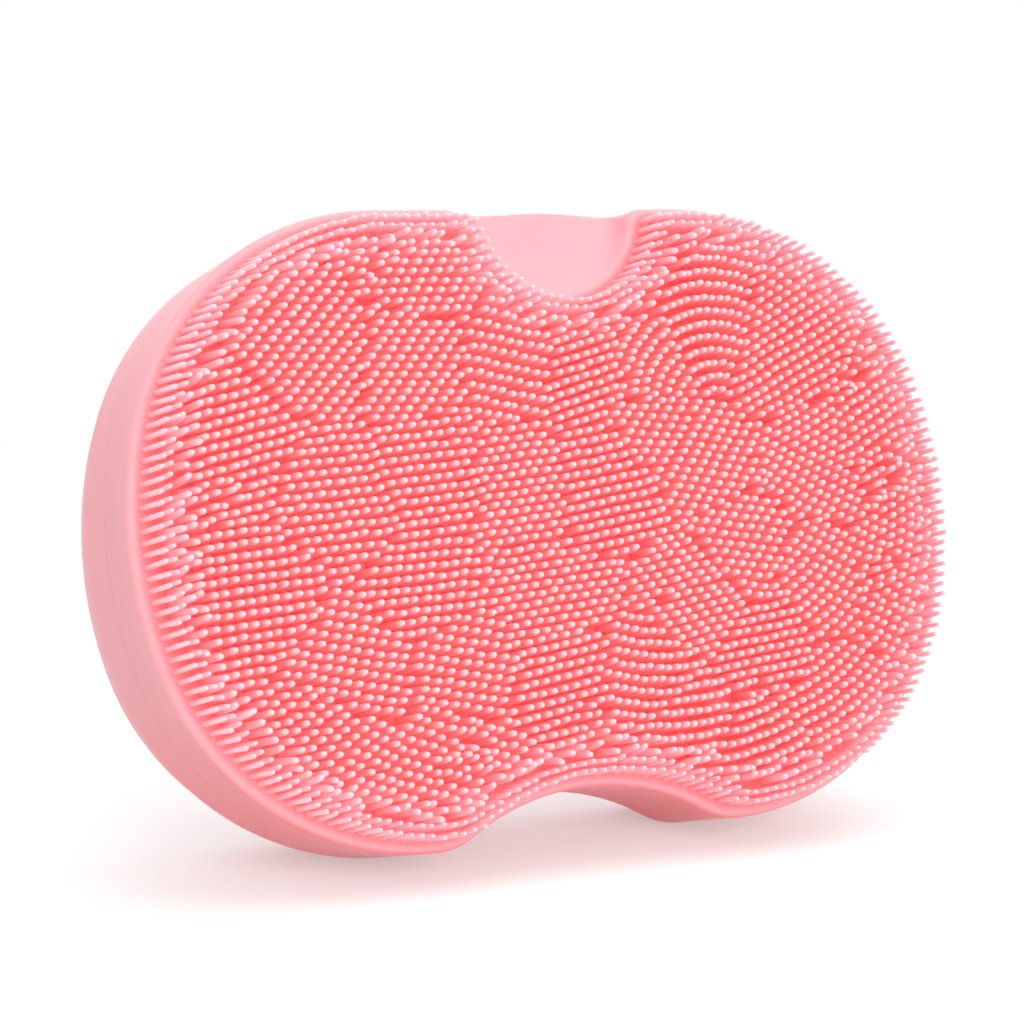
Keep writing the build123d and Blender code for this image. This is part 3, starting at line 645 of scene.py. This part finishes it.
def plantBristles(name, places, deep, loose):
    # copies of the two bristles, each with its own turn, lean, length and tone; both have as many corners
    draw = random.Random(bristle["seed"] + len(places))
    allCorners, allFaces, lift, tone, edge = [], [], [], [], []
    for (x, y), inwards, rough in zip(places, deep, loose):
        corners, faces = rimBristle if inwards < bristle["rimWithin"] else fieldBristle
        turn = draw.uniform(0, 2 * math.pi)
        sway = bristle["sway"] + bristle["looseSway"] * rough
        swayX, swayY = draw.gauss(0, sway), draw.gauss(0, sway)
        tall = 1 - abs(draw.gauss(0, 0.008))
        c, s = math.cos(turn), math.sin(turn)
        up = corners[:, 2] * np.where(corners[:, 2] > 0, tall, 1)
        bend = np.clip(up, 0, None) ** 2 / bristle["length"]
        gatherX, gatherY = (up * g / (body["width"] / 2) for g in bristle["gather"])
        flat = np.stack([
            x + corners[:, 0] * c - corners[:, 1] * s + swayX * bend - gatherX * x,
            y + corners[:, 0] * s + corners[:, 1] * c + swayY * bend - gatherY * y,
        ], 1)
        start = len(allCorners) * len(corners)
        allCorners.append(spots(flat, -up))
        allFaces += [[start + i for i in face] for face in faces]
        lift.append(np.clip(up / bristle["length"], 0, 1))
        tone.append(np.full(len(corners), draw.random()))
        edge.append(np.full(len(corners), inwards))
    mesh = bpy.data.meshes.new(name)
    mesh.from_pydata(np.concatenate(allCorners).tolist(), [], allFaces)
    piece = bpy.data.objects.new(name, mesh)
    bpy.context.scene.collection.objects.link(piece)
    pointValues(piece, "lift", np.concatenate(lift))
    pointValues(piece, "tone", np.concatenate(tone))
    pointValues(piece, "inFromOutline", np.concatenate(edge))
    bpy.ops.object.select_all(action="DESELECT")
    piece.select_set(True)
    bpy.context.view_layer.objects.active = piece
    bpy.ops.object.shade_smooth()
    turnOutwards(piece)
    return piece


faceOutline = outlineAt(0)
fieldPlaces, rimPlaces = plantField(faceOutline)
places = np.concatenate([fieldPlaces, rimPlaces])
deepIn = distanceInside(places, faceOutline)
looseness = loosenessAt(places, deepIn)
fieldBristle = modelBristle(bristle["fieldProfile"])
rimBristle = modelBristle(bristle["rimProfile"])
order = np.argsort(places[:, 0], kind="stable")
bristlePieces = []
for name, third in zip(("bristles_left", "bristles_middle", "bristles_right"), np.array_split(order, 3)):
    piece = plantBristles(name, places[third], deepIn[third], looseness[third])
    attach(piece, "body")
    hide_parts("bristle_field")
    bristlePieces.append(piece)
print("bristles planted,", len(places))


# materials
def socket(tree, name, side, kind, value=None):
    made = tree.interface.new_socket(name=name, in_out=side, socket_type="NodeSocket" + kind)
    if value is not None:
        made.default_value = value


def node(tree, kind, **settings):
    made = tree.nodes.new("ShaderNode" + kind)
    for key, value in settings.items():
        setattr(made, key, value)
    return made


def maths(tree, operation, *values, clamp=False):
    # each value is a number or another node's output
    made = node(tree, "Math", operation=operation, use_clamp=clamp)
    for value, entry in zip(values, made.inputs):
        if isinstance(value, (int, float)):
            entry.default_value = value
        else:
            tree.links.new(value, entry)
    return made.outputs[0]


def scaled(tree, colour, share):
    made = node(tree, "VectorMath", operation="SCALE")
    if isinstance(colour, tuple):
        made.inputs[0].default_value = colour
    else:
        tree.links.new(colour, made.inputs[0])
    tree.links.new(share, made.inputs["Scale"])
    return made.outputs[0]


def makeGrain():
    # fine grain and soft mottling, for every moulded, printed or turned surface
    tree = bpy.data.node_groups.new("surfaceGrain", "ShaderNodeTree")
    socket(tree, "Color", "INPUT", "Color", (0.8, 0.8, 0.8, 1))
    socket(tree, "Roughness", "INPUT", "Float", 0.5)
    socket(tree, "Scale", "INPUT", "Float", 900.0)
    socket(tree, "Mottle", "INPUT", "Float", 0.05)
    socket(tree, "Relief", "INPUT", "Float", 0.1)
    socket(tree, "Color", "OUTPUT", "Color")
    socket(tree, "Roughness", "OUTPUT", "Float")
    socket(tree, "Normal", "OUTPUT", "Vector")
    given = tree.nodes.new("NodeGroupInput").outputs
    out = tree.nodes.new("NodeGroupOutput").inputs
    place = node(tree, "TexCoord").outputs["Object"]
    link = tree.links.new
    fine = node(tree, "TexNoise")
    fine.inputs["Detail"].default_value = 3
    link(place, fine.inputs["Vector"])
    link(given["Scale"], fine.inputs["Scale"])
    broad = node(tree, "TexNoise")
    broad.inputs["Detail"].default_value = 2
    link(place, broad.inputs["Vector"])
    link(maths(tree, "MULTIPLY", given["Scale"], 0.08), broad.inputs["Scale"])
    # mottling darkens by up to Mottle
    darker = maths(tree, "MULTIPLY", broad.outputs["Fac"], given["Mottle"])
    link(scaled(tree, given["Color"], maths(tree, "SUBTRACT", 1.0, darker)), out["Color"])
    wander = node(tree, "MapRange")
    wander.inputs["To Min"].default_value = -0.06
    wander.inputs["To Max"].default_value = 0.06
    link(fine.outputs["Fac"], wander.inputs["Value"])
    link(maths(tree, "ADD", given["Roughness"], wander.outputs[0], clamp=True), out["Roughness"])
    bump = node(tree, "Bump")
    bump.inputs["Distance"].default_value = 0.02 * mm
    link(given["Relief"], bump.inputs["Strength"])
    link(fine.outputs["Fac"], bump.inputs["Height"])
    link(bump.outputs["Normal"], out["Normal"])
    return tree


grain = makeGrain()


def newMaterial(name, look):
    # a Principled surface behind the shared grain; look holds its colour and its constant sockets
    made = bpy.data.materials.new(name)
    made.use_nodes = True
    tree = made.node_tree
    shader = tree.nodes["Principled BSDF"]
    group = node(tree, "Group")
    group.node_tree = grain
    for key in ("Roughness", "Scale", "Mottle", "Relief"):
        if key.lower() in look:
            group.inputs[key].default_value = look[key.lower()]
    group.inputs["Color"].default_value = (*look["color"], 1)
    tree.links.new(group.outputs["Color"], shader.inputs["Base Color"])
    tree.links.new(group.outputs["Roughness"], shader.inputs["Roughness"])
    tree.links.new(group.outputs["Normal"], shader.inputs["Normal"])
    for key, value in look.get("sockets", {}).items():
        shader.inputs[key].default_value = value
    return made, tree, group, shader


silicone = dict(
    color=(0.94, 0.34, 0.38),
    roughness=0.48,
    scale=700.0,
    mottle=0.02,
    relief=0.1,
    sockets={"Subsurface Weight": 0.4, "Subsurface Scale": 0.6 * mm, "Subsurface Radius": (1.0, 0.35, 0.3),
             "Specular IOR Level": 0.35, "Sheen Weight": 0.3, "Sheen Roughness": 0.5,
             "Sheen Tint": (1.0, 0.94, 0.95, 1)},
)
# edge is a painted highlight on the wall near the face; from there inwards the plate turns to rim, and then
# to deep, a painted shade among the bristles
plateColours = dict(
    edge=(0.95, 0.375, 0.415),
    rim=(0.94, 0.27, 0.30),
    deep=(0.92, 0.17, 0.185),
    rimOver=(0.3, 1.0),
    deepOver=(1.3, 3.2),
)
# painted shade on what faces the floor, in a darker, deeper colour with a painted glow: it starts and is
# full where a surface faces down this much
undersideShade = dict(color=(0.90, 0.17, 0.19), over=(0.25, 0.95), paintedGlow=0.15)
# stemOver and tipOver are shares of the height where one colour turns to the next, from a root in painted
# shade to a tip in painted highlight; insideOver is how far in from the rim the field's colours take over;
# tone is the spread from bristle to bristle
bristleColours = dict(
    root=(0.92, 0.215, 0.235),
    stem=(0.98, 0.345, 0.36),
    tip=(1.0, 0.56, 0.585),
    rimRoot=(0.98, 0.36, 0.40),
    rimTip=(1.0, 0.60, 0.65),
    stemOver=(0.2, 0.7),
    tipOver=(0.66, 0.98),
    insideOver=(2.2, 6.0),
    tone=(0.93, 1.0),
)


def attributeValue(tree, name):
    made = node(tree, "Attribute", attribute_name=name)
    return made.outputs["Fac"]


def rangeOf(tree, value, low, high):
    made = node(tree, "MapRange", interpolation_type="SMOOTHSTEP")
    made.inputs["From Min"].default_value = low
    made.inputs["From Max"].default_value = high
    tree.links.new(value, made.inputs["Value"])
    return made.outputs[0]


def mixColours(tree, share, a, b):
    made = node(tree, "Mix", data_type="RGBA")
    tree.links.new(share, made.inputs["Factor"])
    for value, entry in ((a, made.inputs["A"]), (b, made.inputs["B"])):
        if isinstance(value, tuple):
            entry.default_value = (*value, 1)
        else:
            tree.links.new(value, entry)
    return made.outputs["Result"]


def paintGlow(made, shader, colour, share):
    # a slight painted glow of its own colour, given off though no lamp lights it
    tree = made.node_tree
    tree.links.new(scaled(tree, colour, share), shader.inputs["Emission Color"])
    shader.inputs["Emission Strength"].default_value = 1.0
    made.cycles.emission_sampling = "NONE"


def coverMaterial():
    made, tree, group, shader = newMaterial("pinkSilicone", silicone)
    inFromOutline = attributeValue(tree, "inFromOutline")
    nearRim = rangeOf(tree, inFromOutline, *plateColours["rimOver"])
    # the plate deeper in among the bristles takes a painted shade
    deep = rangeOf(tree, inFromOutline, *plateColours["deepOver"])
    plate = mixColours(tree, deep, plateColours["rim"], plateColours["deep"])
    # painted highlight on the wall towards the face
    edge = rangeOf(tree, attributeValue(tree, "nearEdge"), 0.0, 1.0)
    # painted shade on what faces the floor
    under = rangeOf(tree, attributeValue(tree, "under"), *undersideShade["over"])
    wall = mixColours(tree, edge, silicone["color"], plateColours["edge"])
    wall = mixColours(tree, under, wall, undersideShade["color"])
    tree.links.new(mixColours(tree, nearRim, wall, plate), group.inputs["Color"])
    # a painted glow on the side that faces the floor
    paintGlow(made, shader, undersideShade["color"], maths(tree, "MULTIPLY", under, undersideShade["paintedGlow"]))
    return made


def bristleMaterial():
    soft = dict(silicone["sockets"])
    soft.update({"Subsurface Weight": 0.3, "Sheen Weight": 0.15})
    look = dict(color=bristleColours["stem"], roughness=0.36, mottle=0.0, relief=0.0, sockets=soft)
    made, tree, group, shader = newMaterial("bristleSilicone", look)
    lift = attributeValue(tree, "lift")
    inside = rangeOf(tree, attributeValue(tree, "inFromOutline"), *bristleColours["insideOver"])
    # the roots' darker colour is painted shade and the tips' paler colour a painted highlight
    lower = rangeOf(tree, lift, *bristleColours["stemOver"])
    upper = rangeOf(tree, lift, *bristleColours["tipOver"])
    field = mixColours(tree, upper, mixColours(tree, lower, bristleColours["root"], bristleColours["stem"]),
                       bristleColours["tip"])
    rim = mixColours(tree, lower, bristleColours["rimRoot"], bristleColours["rimTip"])
    spread = node(tree, "MapRange")
    spread.inputs["To Min"].default_value, spread.inputs["To Max"].default_value = bristleColours["tone"]
    tree.links.new(attributeValue(tree, "tone"), spread.inputs["Value"])
    colour = scaled(tree, mixColours(tree, inside, rim, field), spread.outputs[0])
    tree.links.new(colour, group.inputs["Color"])
    # a painted glow on the bristles, strongest at their roots between them and faint at the tips
    rootGlow = node(tree, "MapRange", interpolation_type="SMOOTHSTEP")
    rootGlow.inputs["From Min"].default_value = 0.3
    rootGlow.inputs["To Min"].default_value = bristle["paintedGlow"]
    rootGlow.inputs["To Max"].default_value = bristle["tipGlow"]
    tree.links.new(lift, rootGlow.inputs["Value"])
    paintGlow(made, shader, colour, rootGlow.outputs[0])
    return made


def giveMaterial(piece, made):
    piece.data.materials.clear()
    piece.data.materials.append(made)


pinkSilicone = coverMaterial()
for piece in (brushCover, gripCover):
    giveMaterial(piece, pinkSilicone)
bristleSilicone = bristleMaterial()
for piece in bristlePieces:
    giveMaterial(piece, bristleSilicone)


def makeBands():
    # soft-edged stripes along one coordinate, for laminations, turning marks and traces
    tree = bpy.data.node_groups.new("fineBands", "ShaderNodeTree")
    socket(tree, "Along", "INPUT", "Float", 0.0)
    socket(tree, "Pitch", "INPUT", "Float", 0.4 * mm)
    socket(tree, "Edge", "INPUT", "Float", 0.3)
    socket(tree, "Mask", "OUTPUT", "Float")
    given = tree.nodes.new("NodeGroupInput").outputs
    out = tree.nodes.new("NodeGroupOutput").inputs
    turns = maths(tree, "DIVIDE", given["Along"], given["Pitch"])
    swing = maths(tree, "SINE", maths(tree, "MULTIPLY", turns, 2 * math.pi))
    mask = node(tree, "MapRange", interpolation_type="SMOOTHSTEP")
    tree.links.new(swing, mask.inputs["Value"])
    tree.links.new(given["Edge"], mask.inputs["From Min"])
    tree.links.new(mask.outputs[0], out["Mask"])
    return tree


def makeLeaningPlace():
    # object coordinates turned to the brush's own lean
    tree = bpy.data.node_groups.new("leaningPlace", "ShaderNodeTree")
    for name in ("Across", "Depth", "Up"):
        socket(tree, name, "OUTPUT", "Float")
    out = tree.nodes.new("NodeGroupOutput")
    turned = node(tree, "Mapping")
    turned.inputs["Rotation"].default_value = (lean, 0, 0)
    parts = node(tree, "SeparateXYZ")
    tree.links.new(node(tree, "TexCoord").outputs["Object"], turned.inputs["Vector"])
    tree.links.new(turned.outputs[0], parts.inputs[0])
    for name, made in zip(("Across", "Depth", "Up"), parts.outputs):
        tree.links.new(made, out.inputs[name])
    return tree


def makeSpeckle():
    # scattered spots, for sintered and painted surfaces, scuffs and solder
    tree = bpy.data.node_groups.new("speckle", "ShaderNodeTree")
    socket(tree, "Scale", "INPUT", "Float", 1500.0)
    socket(tree, "Amount", "INPUT", "Float", 0.3)
    socket(tree, "Mask", "OUTPUT", "Float")
    given = tree.nodes.new("NodeGroupInput").outputs
    out = tree.nodes.new("NodeGroupOutput").inputs
    link = tree.links.new
    spread = node(tree, "TexNoise")
    spread.inputs["Detail"].default_value = 4
    link(node(tree, "TexCoord").outputs["Object"], spread.inputs["Vector"])
    link(given["Scale"], spread.inputs["Scale"])
    start = maths(tree, "SUBTRACT", 0.72, given["Amount"])
    mask = node(tree, "MapRange", interpolation_type="SMOOTHSTEP")
    link(spread.outputs["Fac"], mask.inputs["Value"])
    link(start, mask.inputs["From Min"])
    link(maths(tree, "ADD", start, 0.08), mask.inputs["From Max"])
    link(mask.outputs[0], out["Mask"])
    return tree


bands, leaningPlace, speckle = makeBands(), makeLeaningPlace(), makeSpeckle()


def placed(tree, group, **values):
    made = node(tree, "Group")
    made.node_tree = group
    for key, value in values.items():
        made.inputs[key].default_value = value
    return made


def detailedMaterial(name, look):
    # bands lists (coordinate, pitch in millimetres, edge, colour); specks holds (scale, amount, colour)
    made, tree, group = newMaterial(name, look)[:3]
    colour = look["color"]
    for along, pitch, edge, tint in look.get("bands", ()):
        stripes = placed(tree, bands, Pitch=pitch * mm, Edge=edge)
        tree.links.new(placed(tree, leaningPlace).outputs[along], stripes.inputs["Along"])
        colour = mixColours(tree, stripes.outputs["Mask"], colour, tint)
    if "specks" in look:
        scale, amount, tint = look["specks"]
        specks = placed(tree, speckle, Scale=scale, Amount=amount)
        colour = mixColours(tree, specks.outputs["Mask"], colour, tint)
    if not isinstance(colour, tuple):
        tree.links.new(colour, group.inputs["Color"])
    return made


# finishes of the pieces that keep their CAD shape, each with the nodes that wear it
metal = {"Metallic": 1.0}
finishes = {
    "whiteShell": (dict(color=(0.83, 0.82, 0.79), roughness=0.45, scale=1200.0, mottle=0.04, relief=0.15,
                        specks=(260.0, 0.16, (0.77, 0.76, 0.73))),
                   ("front_shell", "rear_shell", "motor_bracket")),
    "greyRubber": (dict(color=(0.10, 0.10, 0.11), roughness=0.75, scale=900.0, mottle=0.15, relief=0.35,
                        specks=(900.0, 0.2, (0.16, 0.16, 0.165))),
                   ("shell_gasket", "motor_sleeve", "button_seal")),
    "platedSteel": (dict(color=(0.60, 0.59, 0.57), roughness=0.26, scale=2600.0, mottle=0.2, relief=0.2,
                         specks=(1800.0, 0.2, (0.42, 0.41, 0.40)), sockets=metal),
                    ("shell_screws", "bracket_screws", "board_screws", "motor_shaft")),
    "drawnSteel": (dict(color=(0.66, 0.66, 0.65), roughness=0.3, scale=1200.0, mottle=0.15, relief=0.15,
                        bands=(("Up", 0.16, 0.2, (0.56, 0.56, 0.56)),), sockets=metal),
                   ("motor_can",)),
    "ferrite": (dict(color=(0.075, 0.072, 0.072), roughness=0.62, scale=1500.0, mottle=0.3, relief=0.4,
                     specks=(2400.0, 0.26, (0.16, 0.15, 0.15))),
                ("motor_magnet",)),
    "laminatedIron": (dict(color=(0.33, 0.31, 0.30), roughness=0.4, scale=1800.0, mottle=0.2, relief=0.3,
                           bands=(("Up", 0.5, 0.75, (0.10, 0.09, 0.09)),), sockets=metal),
                      ("armature",)),
    "sinteredWeight": (dict(color=(0.40, 0.39, 0.37), roughness=0.42, scale=2600.0, mottle=0.25, relief=0.4,
                            specks=(3000.0, 0.28, (0.24, 0.23, 0.22)), sockets=metal),
                       ("eccentric_weight",)),
    "blackPlastic": (dict(color=(0.028, 0.028, 0.031), roughness=0.42, scale=1800.0, mottle=0.2, relief=0.25,
                          specks=(700.0, 0.18, (0.05, 0.05, 0.054))),
                     ("motor_end_cap", "control_chip", "power_switch", "switch_plunger")),
    "contactGold": (dict(color=(0.86, 0.62, 0.25), roughness=0.22, scale=2500.0, mottle=0.12, relief=0.1,
                         specks=(2600.0, 0.18, (0.68, 0.46, 0.18)), sockets=metal),
                    ("motor_terminals", "charging_pins")),
    "batteryFoil": (dict(color=(0.66, 0.67, 0.69), roughness=0.28, scale=420.0, mottle=0.12, relief=0.8,
                         specks=(180.0, 0.18, (0.56, 0.57, 0.60)), sockets=metal),
                    ("battery_cell",)),
    "foamTape": (dict(color=(0.86, 0.85, 0.80), roughness=0.9, scale=1400.0, mottle=0.12, relief=0.8,
                      specks=(3200.0, 0.3, (0.70, 0.69, 0.64))),
                 ("battery_tape",)),
    "boardGreen": (dict(color=(0.012, 0.13, 0.055), roughness=0.32, scale=1400.0, mottle=0.2, relief=0.2,
                        bands=(("Across", 1.3, 0.86, (0.03, 0.24, 0.10)),
                               ("Up", 1.7, 0.9, (0.03, 0.24, 0.10))),
                        specks=(1100.0, 0.08, (0.62, 0.62, 0.60)), sockets={"Coat Weight": 0.3}),
                   ("circuit_board", "battery_guard_board")),
    "ceramicParts": (dict(color=(0.36, 0.25, 0.15), roughness=0.45, scale=2400.0, mottle=0.2, relief=0.2,
                          bands=(("Across", 1.1, 0.6, (0.60, 0.59, 0.57)),)),
                     ("board_parts",)),
    "redLead": (dict(color=(0.52, 0.02, 0.02), roughness=0.38, scale=1500.0, mottle=0.12, relief=0.15,
                     specks=(700.0, 0.14, (0.40, 0.015, 0.015))),
                ("motor_lead_red", "battery_lead_red")),
    "blackLead": (dict(color=(0.018, 0.018, 0.02), roughness=0.4, scale=1500.0, mottle=0.12, relief=0.15,
                       specks=(700.0, 0.14, (0.035, 0.035, 0.037))),
                  ("motor_lead_black", "battery_lead_black")),
    "frostedPlastic": (dict(color=(0.92, 0.90, 0.89), roughness=0.42, scale=1500.0, mottle=0.03, relief=0.1,
                            sockets={"Transmission Weight": 0.12, "Subsurface Weight": 0.3,
                                     "Subsurface Scale": 0.5 * mm}),
                       ("light_guide",)),
    "lampLens": (dict(color=(0.93, 0.90, 0.72), roughness=0.16, scale=1500.0, mottle=0.03, relief=0.05,
                      sockets={"Transmission Weight": 0.5, "Coat Weight": 0.5}),
                 ("status_led",)),
    "rosePlastic": (dict(color=(0.80, 0.50, 0.515), roughness=0.46, scale=1300.0, mottle=0.06, relief=0.25,
                          specks=(520.0, 0.16, (0.76, 0.465, 0.48))),
                     ("contact_block",)),
    "buttonPlastic": (dict(color=(0.94, 0.44, 0.475), roughness=0.38, scale=1200.0, mottle=0.04, relief=0.15,
                           specks=(420.0, 0.16, (0.92, 0.41, 0.445)), sockets={"Coat Weight": 0.15}),
                      ("power_button",)),
}
for name, (look, wearers) in finishes.items():
    made = detailedMaterial(name, look)
    for wearer in wearers:
        giveMaterial(nodes[wearer], made)
print("materials made,", len(bpy.data.materials))

# floor, light and camera
stage = dict(
    floor=3.0,
    floorColour=(0.60, 0.68, 0.68),
    glow=0.37,
    shadowReach=(0.13, 0.42),   # past this way from the brush the floor is as white as the background
    ambient=0.78,
    ambientColour=(1.0, 0.87, 0.875),
)
lamps = [
    dict(name="overheadSoftbox", size=0.55, power=1.6, at=(0.10, -0.05, 0.62), colour=(0.98, 1.0, 1.0)),
    dict(name="faceSoftbox", size=0.3, power=2.4, at=(-0.06, -0.60, 0.19), colour=(0.98, 1.0, 1.0)),
    dict(name="leftFill", size=0.4, power=0.2, at=(-0.6, -0.15, 0.2), colour=(1.0, 0.99, 0.99)),
    dict(name="backSoftbox", size=0.5, power=1.0, at=(0.38, 0.55, 0.25), colour=(1.0, 0.99, 0.99)),
]


def cameraRays(tree):
    # 1 for the rays that see the background: from the camera, and in gloss and clear plastic
    rays = node(tree, "LightPath").outputs
    seen = maths(tree, "MAXIMUM", rays["Is Camera Ray"], rays["Is Glossy Ray"])
    return maths(tree, "MAXIMUM", seen, rays["Is Transmission Ray"])


def makeFloor():
    bpy.ops.object.select_all(action="DESELECT")
    bpy.ops.mesh.primitive_plane_add(size=stage["floor"])
    floor = bpy.context.object
    floor.name = "floor"
    made = bpy.data.materials.new("paleFloor")
    made.use_nodes = True
    tree = made.node_tree
    tree.nodes.remove(tree.nodes["Principled BSDF"])
    matte = node(tree, "BsdfDiffuse")
    matte.inputs["Color"].default_value = (*stage["floorColour"], 1)
    glow = node(tree, "Emission")
    tree.links.new(maths(tree, "MULTIPLY", cameraRays(tree), stage["glow"]), glow.inputs["Strength"])
    both = node(tree, "AddShader")
    tree.links.new(matte.outputs[0], both.inputs[0])
    tree.links.new(glow.outputs[0], both.inputs[1])
    # the floor fades into the white background away from the brush
    away = node(tree, "VectorMath", operation="LENGTH")
    tree.links.new(node(tree, "TexCoord").outputs["Object"], away.inputs[0])
    far = rangeOf(tree, away.outputs["Value"], *stage["shadowReach"])
    white = node(tree, "Emission")
    fade = node(tree, "MixShader")
    tree.links.new(maths(tree, "MULTIPLY", far, cameraRays(tree)), fade.inputs[0])
    tree.links.new(both.outputs[0], fade.inputs[1])
    tree.links.new(white.outputs[0], fade.inputs[2])
    tree.links.new(fade.outputs[0], tree.nodes["Material Output"].inputs["Surface"])
    giveMaterial(floor, made)


def makeWorld():
    world = bpy.context.scene.world or bpy.data.worlds.new("studio")
    bpy.context.scene.world = world
    world.use_nodes = True
    tree = world.node_tree
    tree.nodes.clear()
    seen = node(tree, "Background")
    seen.inputs["Color"].default_value = (1, 1, 1, 1)
    light = node(tree, "Background")
    light.inputs["Color"].default_value = (*stage["ambientColour"], 1)
    light.inputs["Strength"].default_value = stage["ambient"]
    mix = node(tree, "MixShader")
    out = node(tree, "OutputWorld")
    tree.links.new(cameraRays(tree), mix.inputs[0])
    tree.links.new(light.outputs[0], mix.inputs[1])
    tree.links.new(seen.outputs[0], mix.inputs[2])
    tree.links.new(mix.outputs[0], out.inputs["Surface"])


def makeLamps():
    aim = Vector((0, 0, 0.03))
    for lamp in lamps:
        bpy.ops.object.light_add(type="AREA", location=lamp["at"])
        made = bpy.context.object
        made.name = lamp["name"]
        made.data.size = lamp["size"]
        made.data.energy = lamp["power"]
        made.data.color = lamp["colour"]
        made.rotation_euler = (aim - made.location).to_track_quat("-Z", "Y").to_euler()


view = dict(target=(-4.75, -7.04, 32.37), turn=26.43, lift=6.74, distance=252.0, lens=95.72)


def makeCamera():
    # turn is round to the brush's left, lift is up from the floor, both in degrees
    turn, lift = math.radians(view["turn"]), math.radians(view["lift"])
    flat = math.cos(lift)
    towards = Vector((-math.sin(turn) * flat, -math.cos(turn) * flat, math.sin(lift)))
    bpy.ops.object.camera_add(location=(Vector(view["target"]) + towards * view["distance"]) * mm)
    camera = bpy.context.object
    camera.rotation_euler = towards.to_track_quat("Z", "Y").to_euler()
    camera.data.lens = view["lens"]
    camera.data.sensor_width = 36
    camera.data.clip_start = 0.01
    bpy.context.scene.camera = camera


makeFloor()
makeWorld()
makeLamps()
makeCamera()
bpy.context.scene.view_settings.view_transform = "Standard"
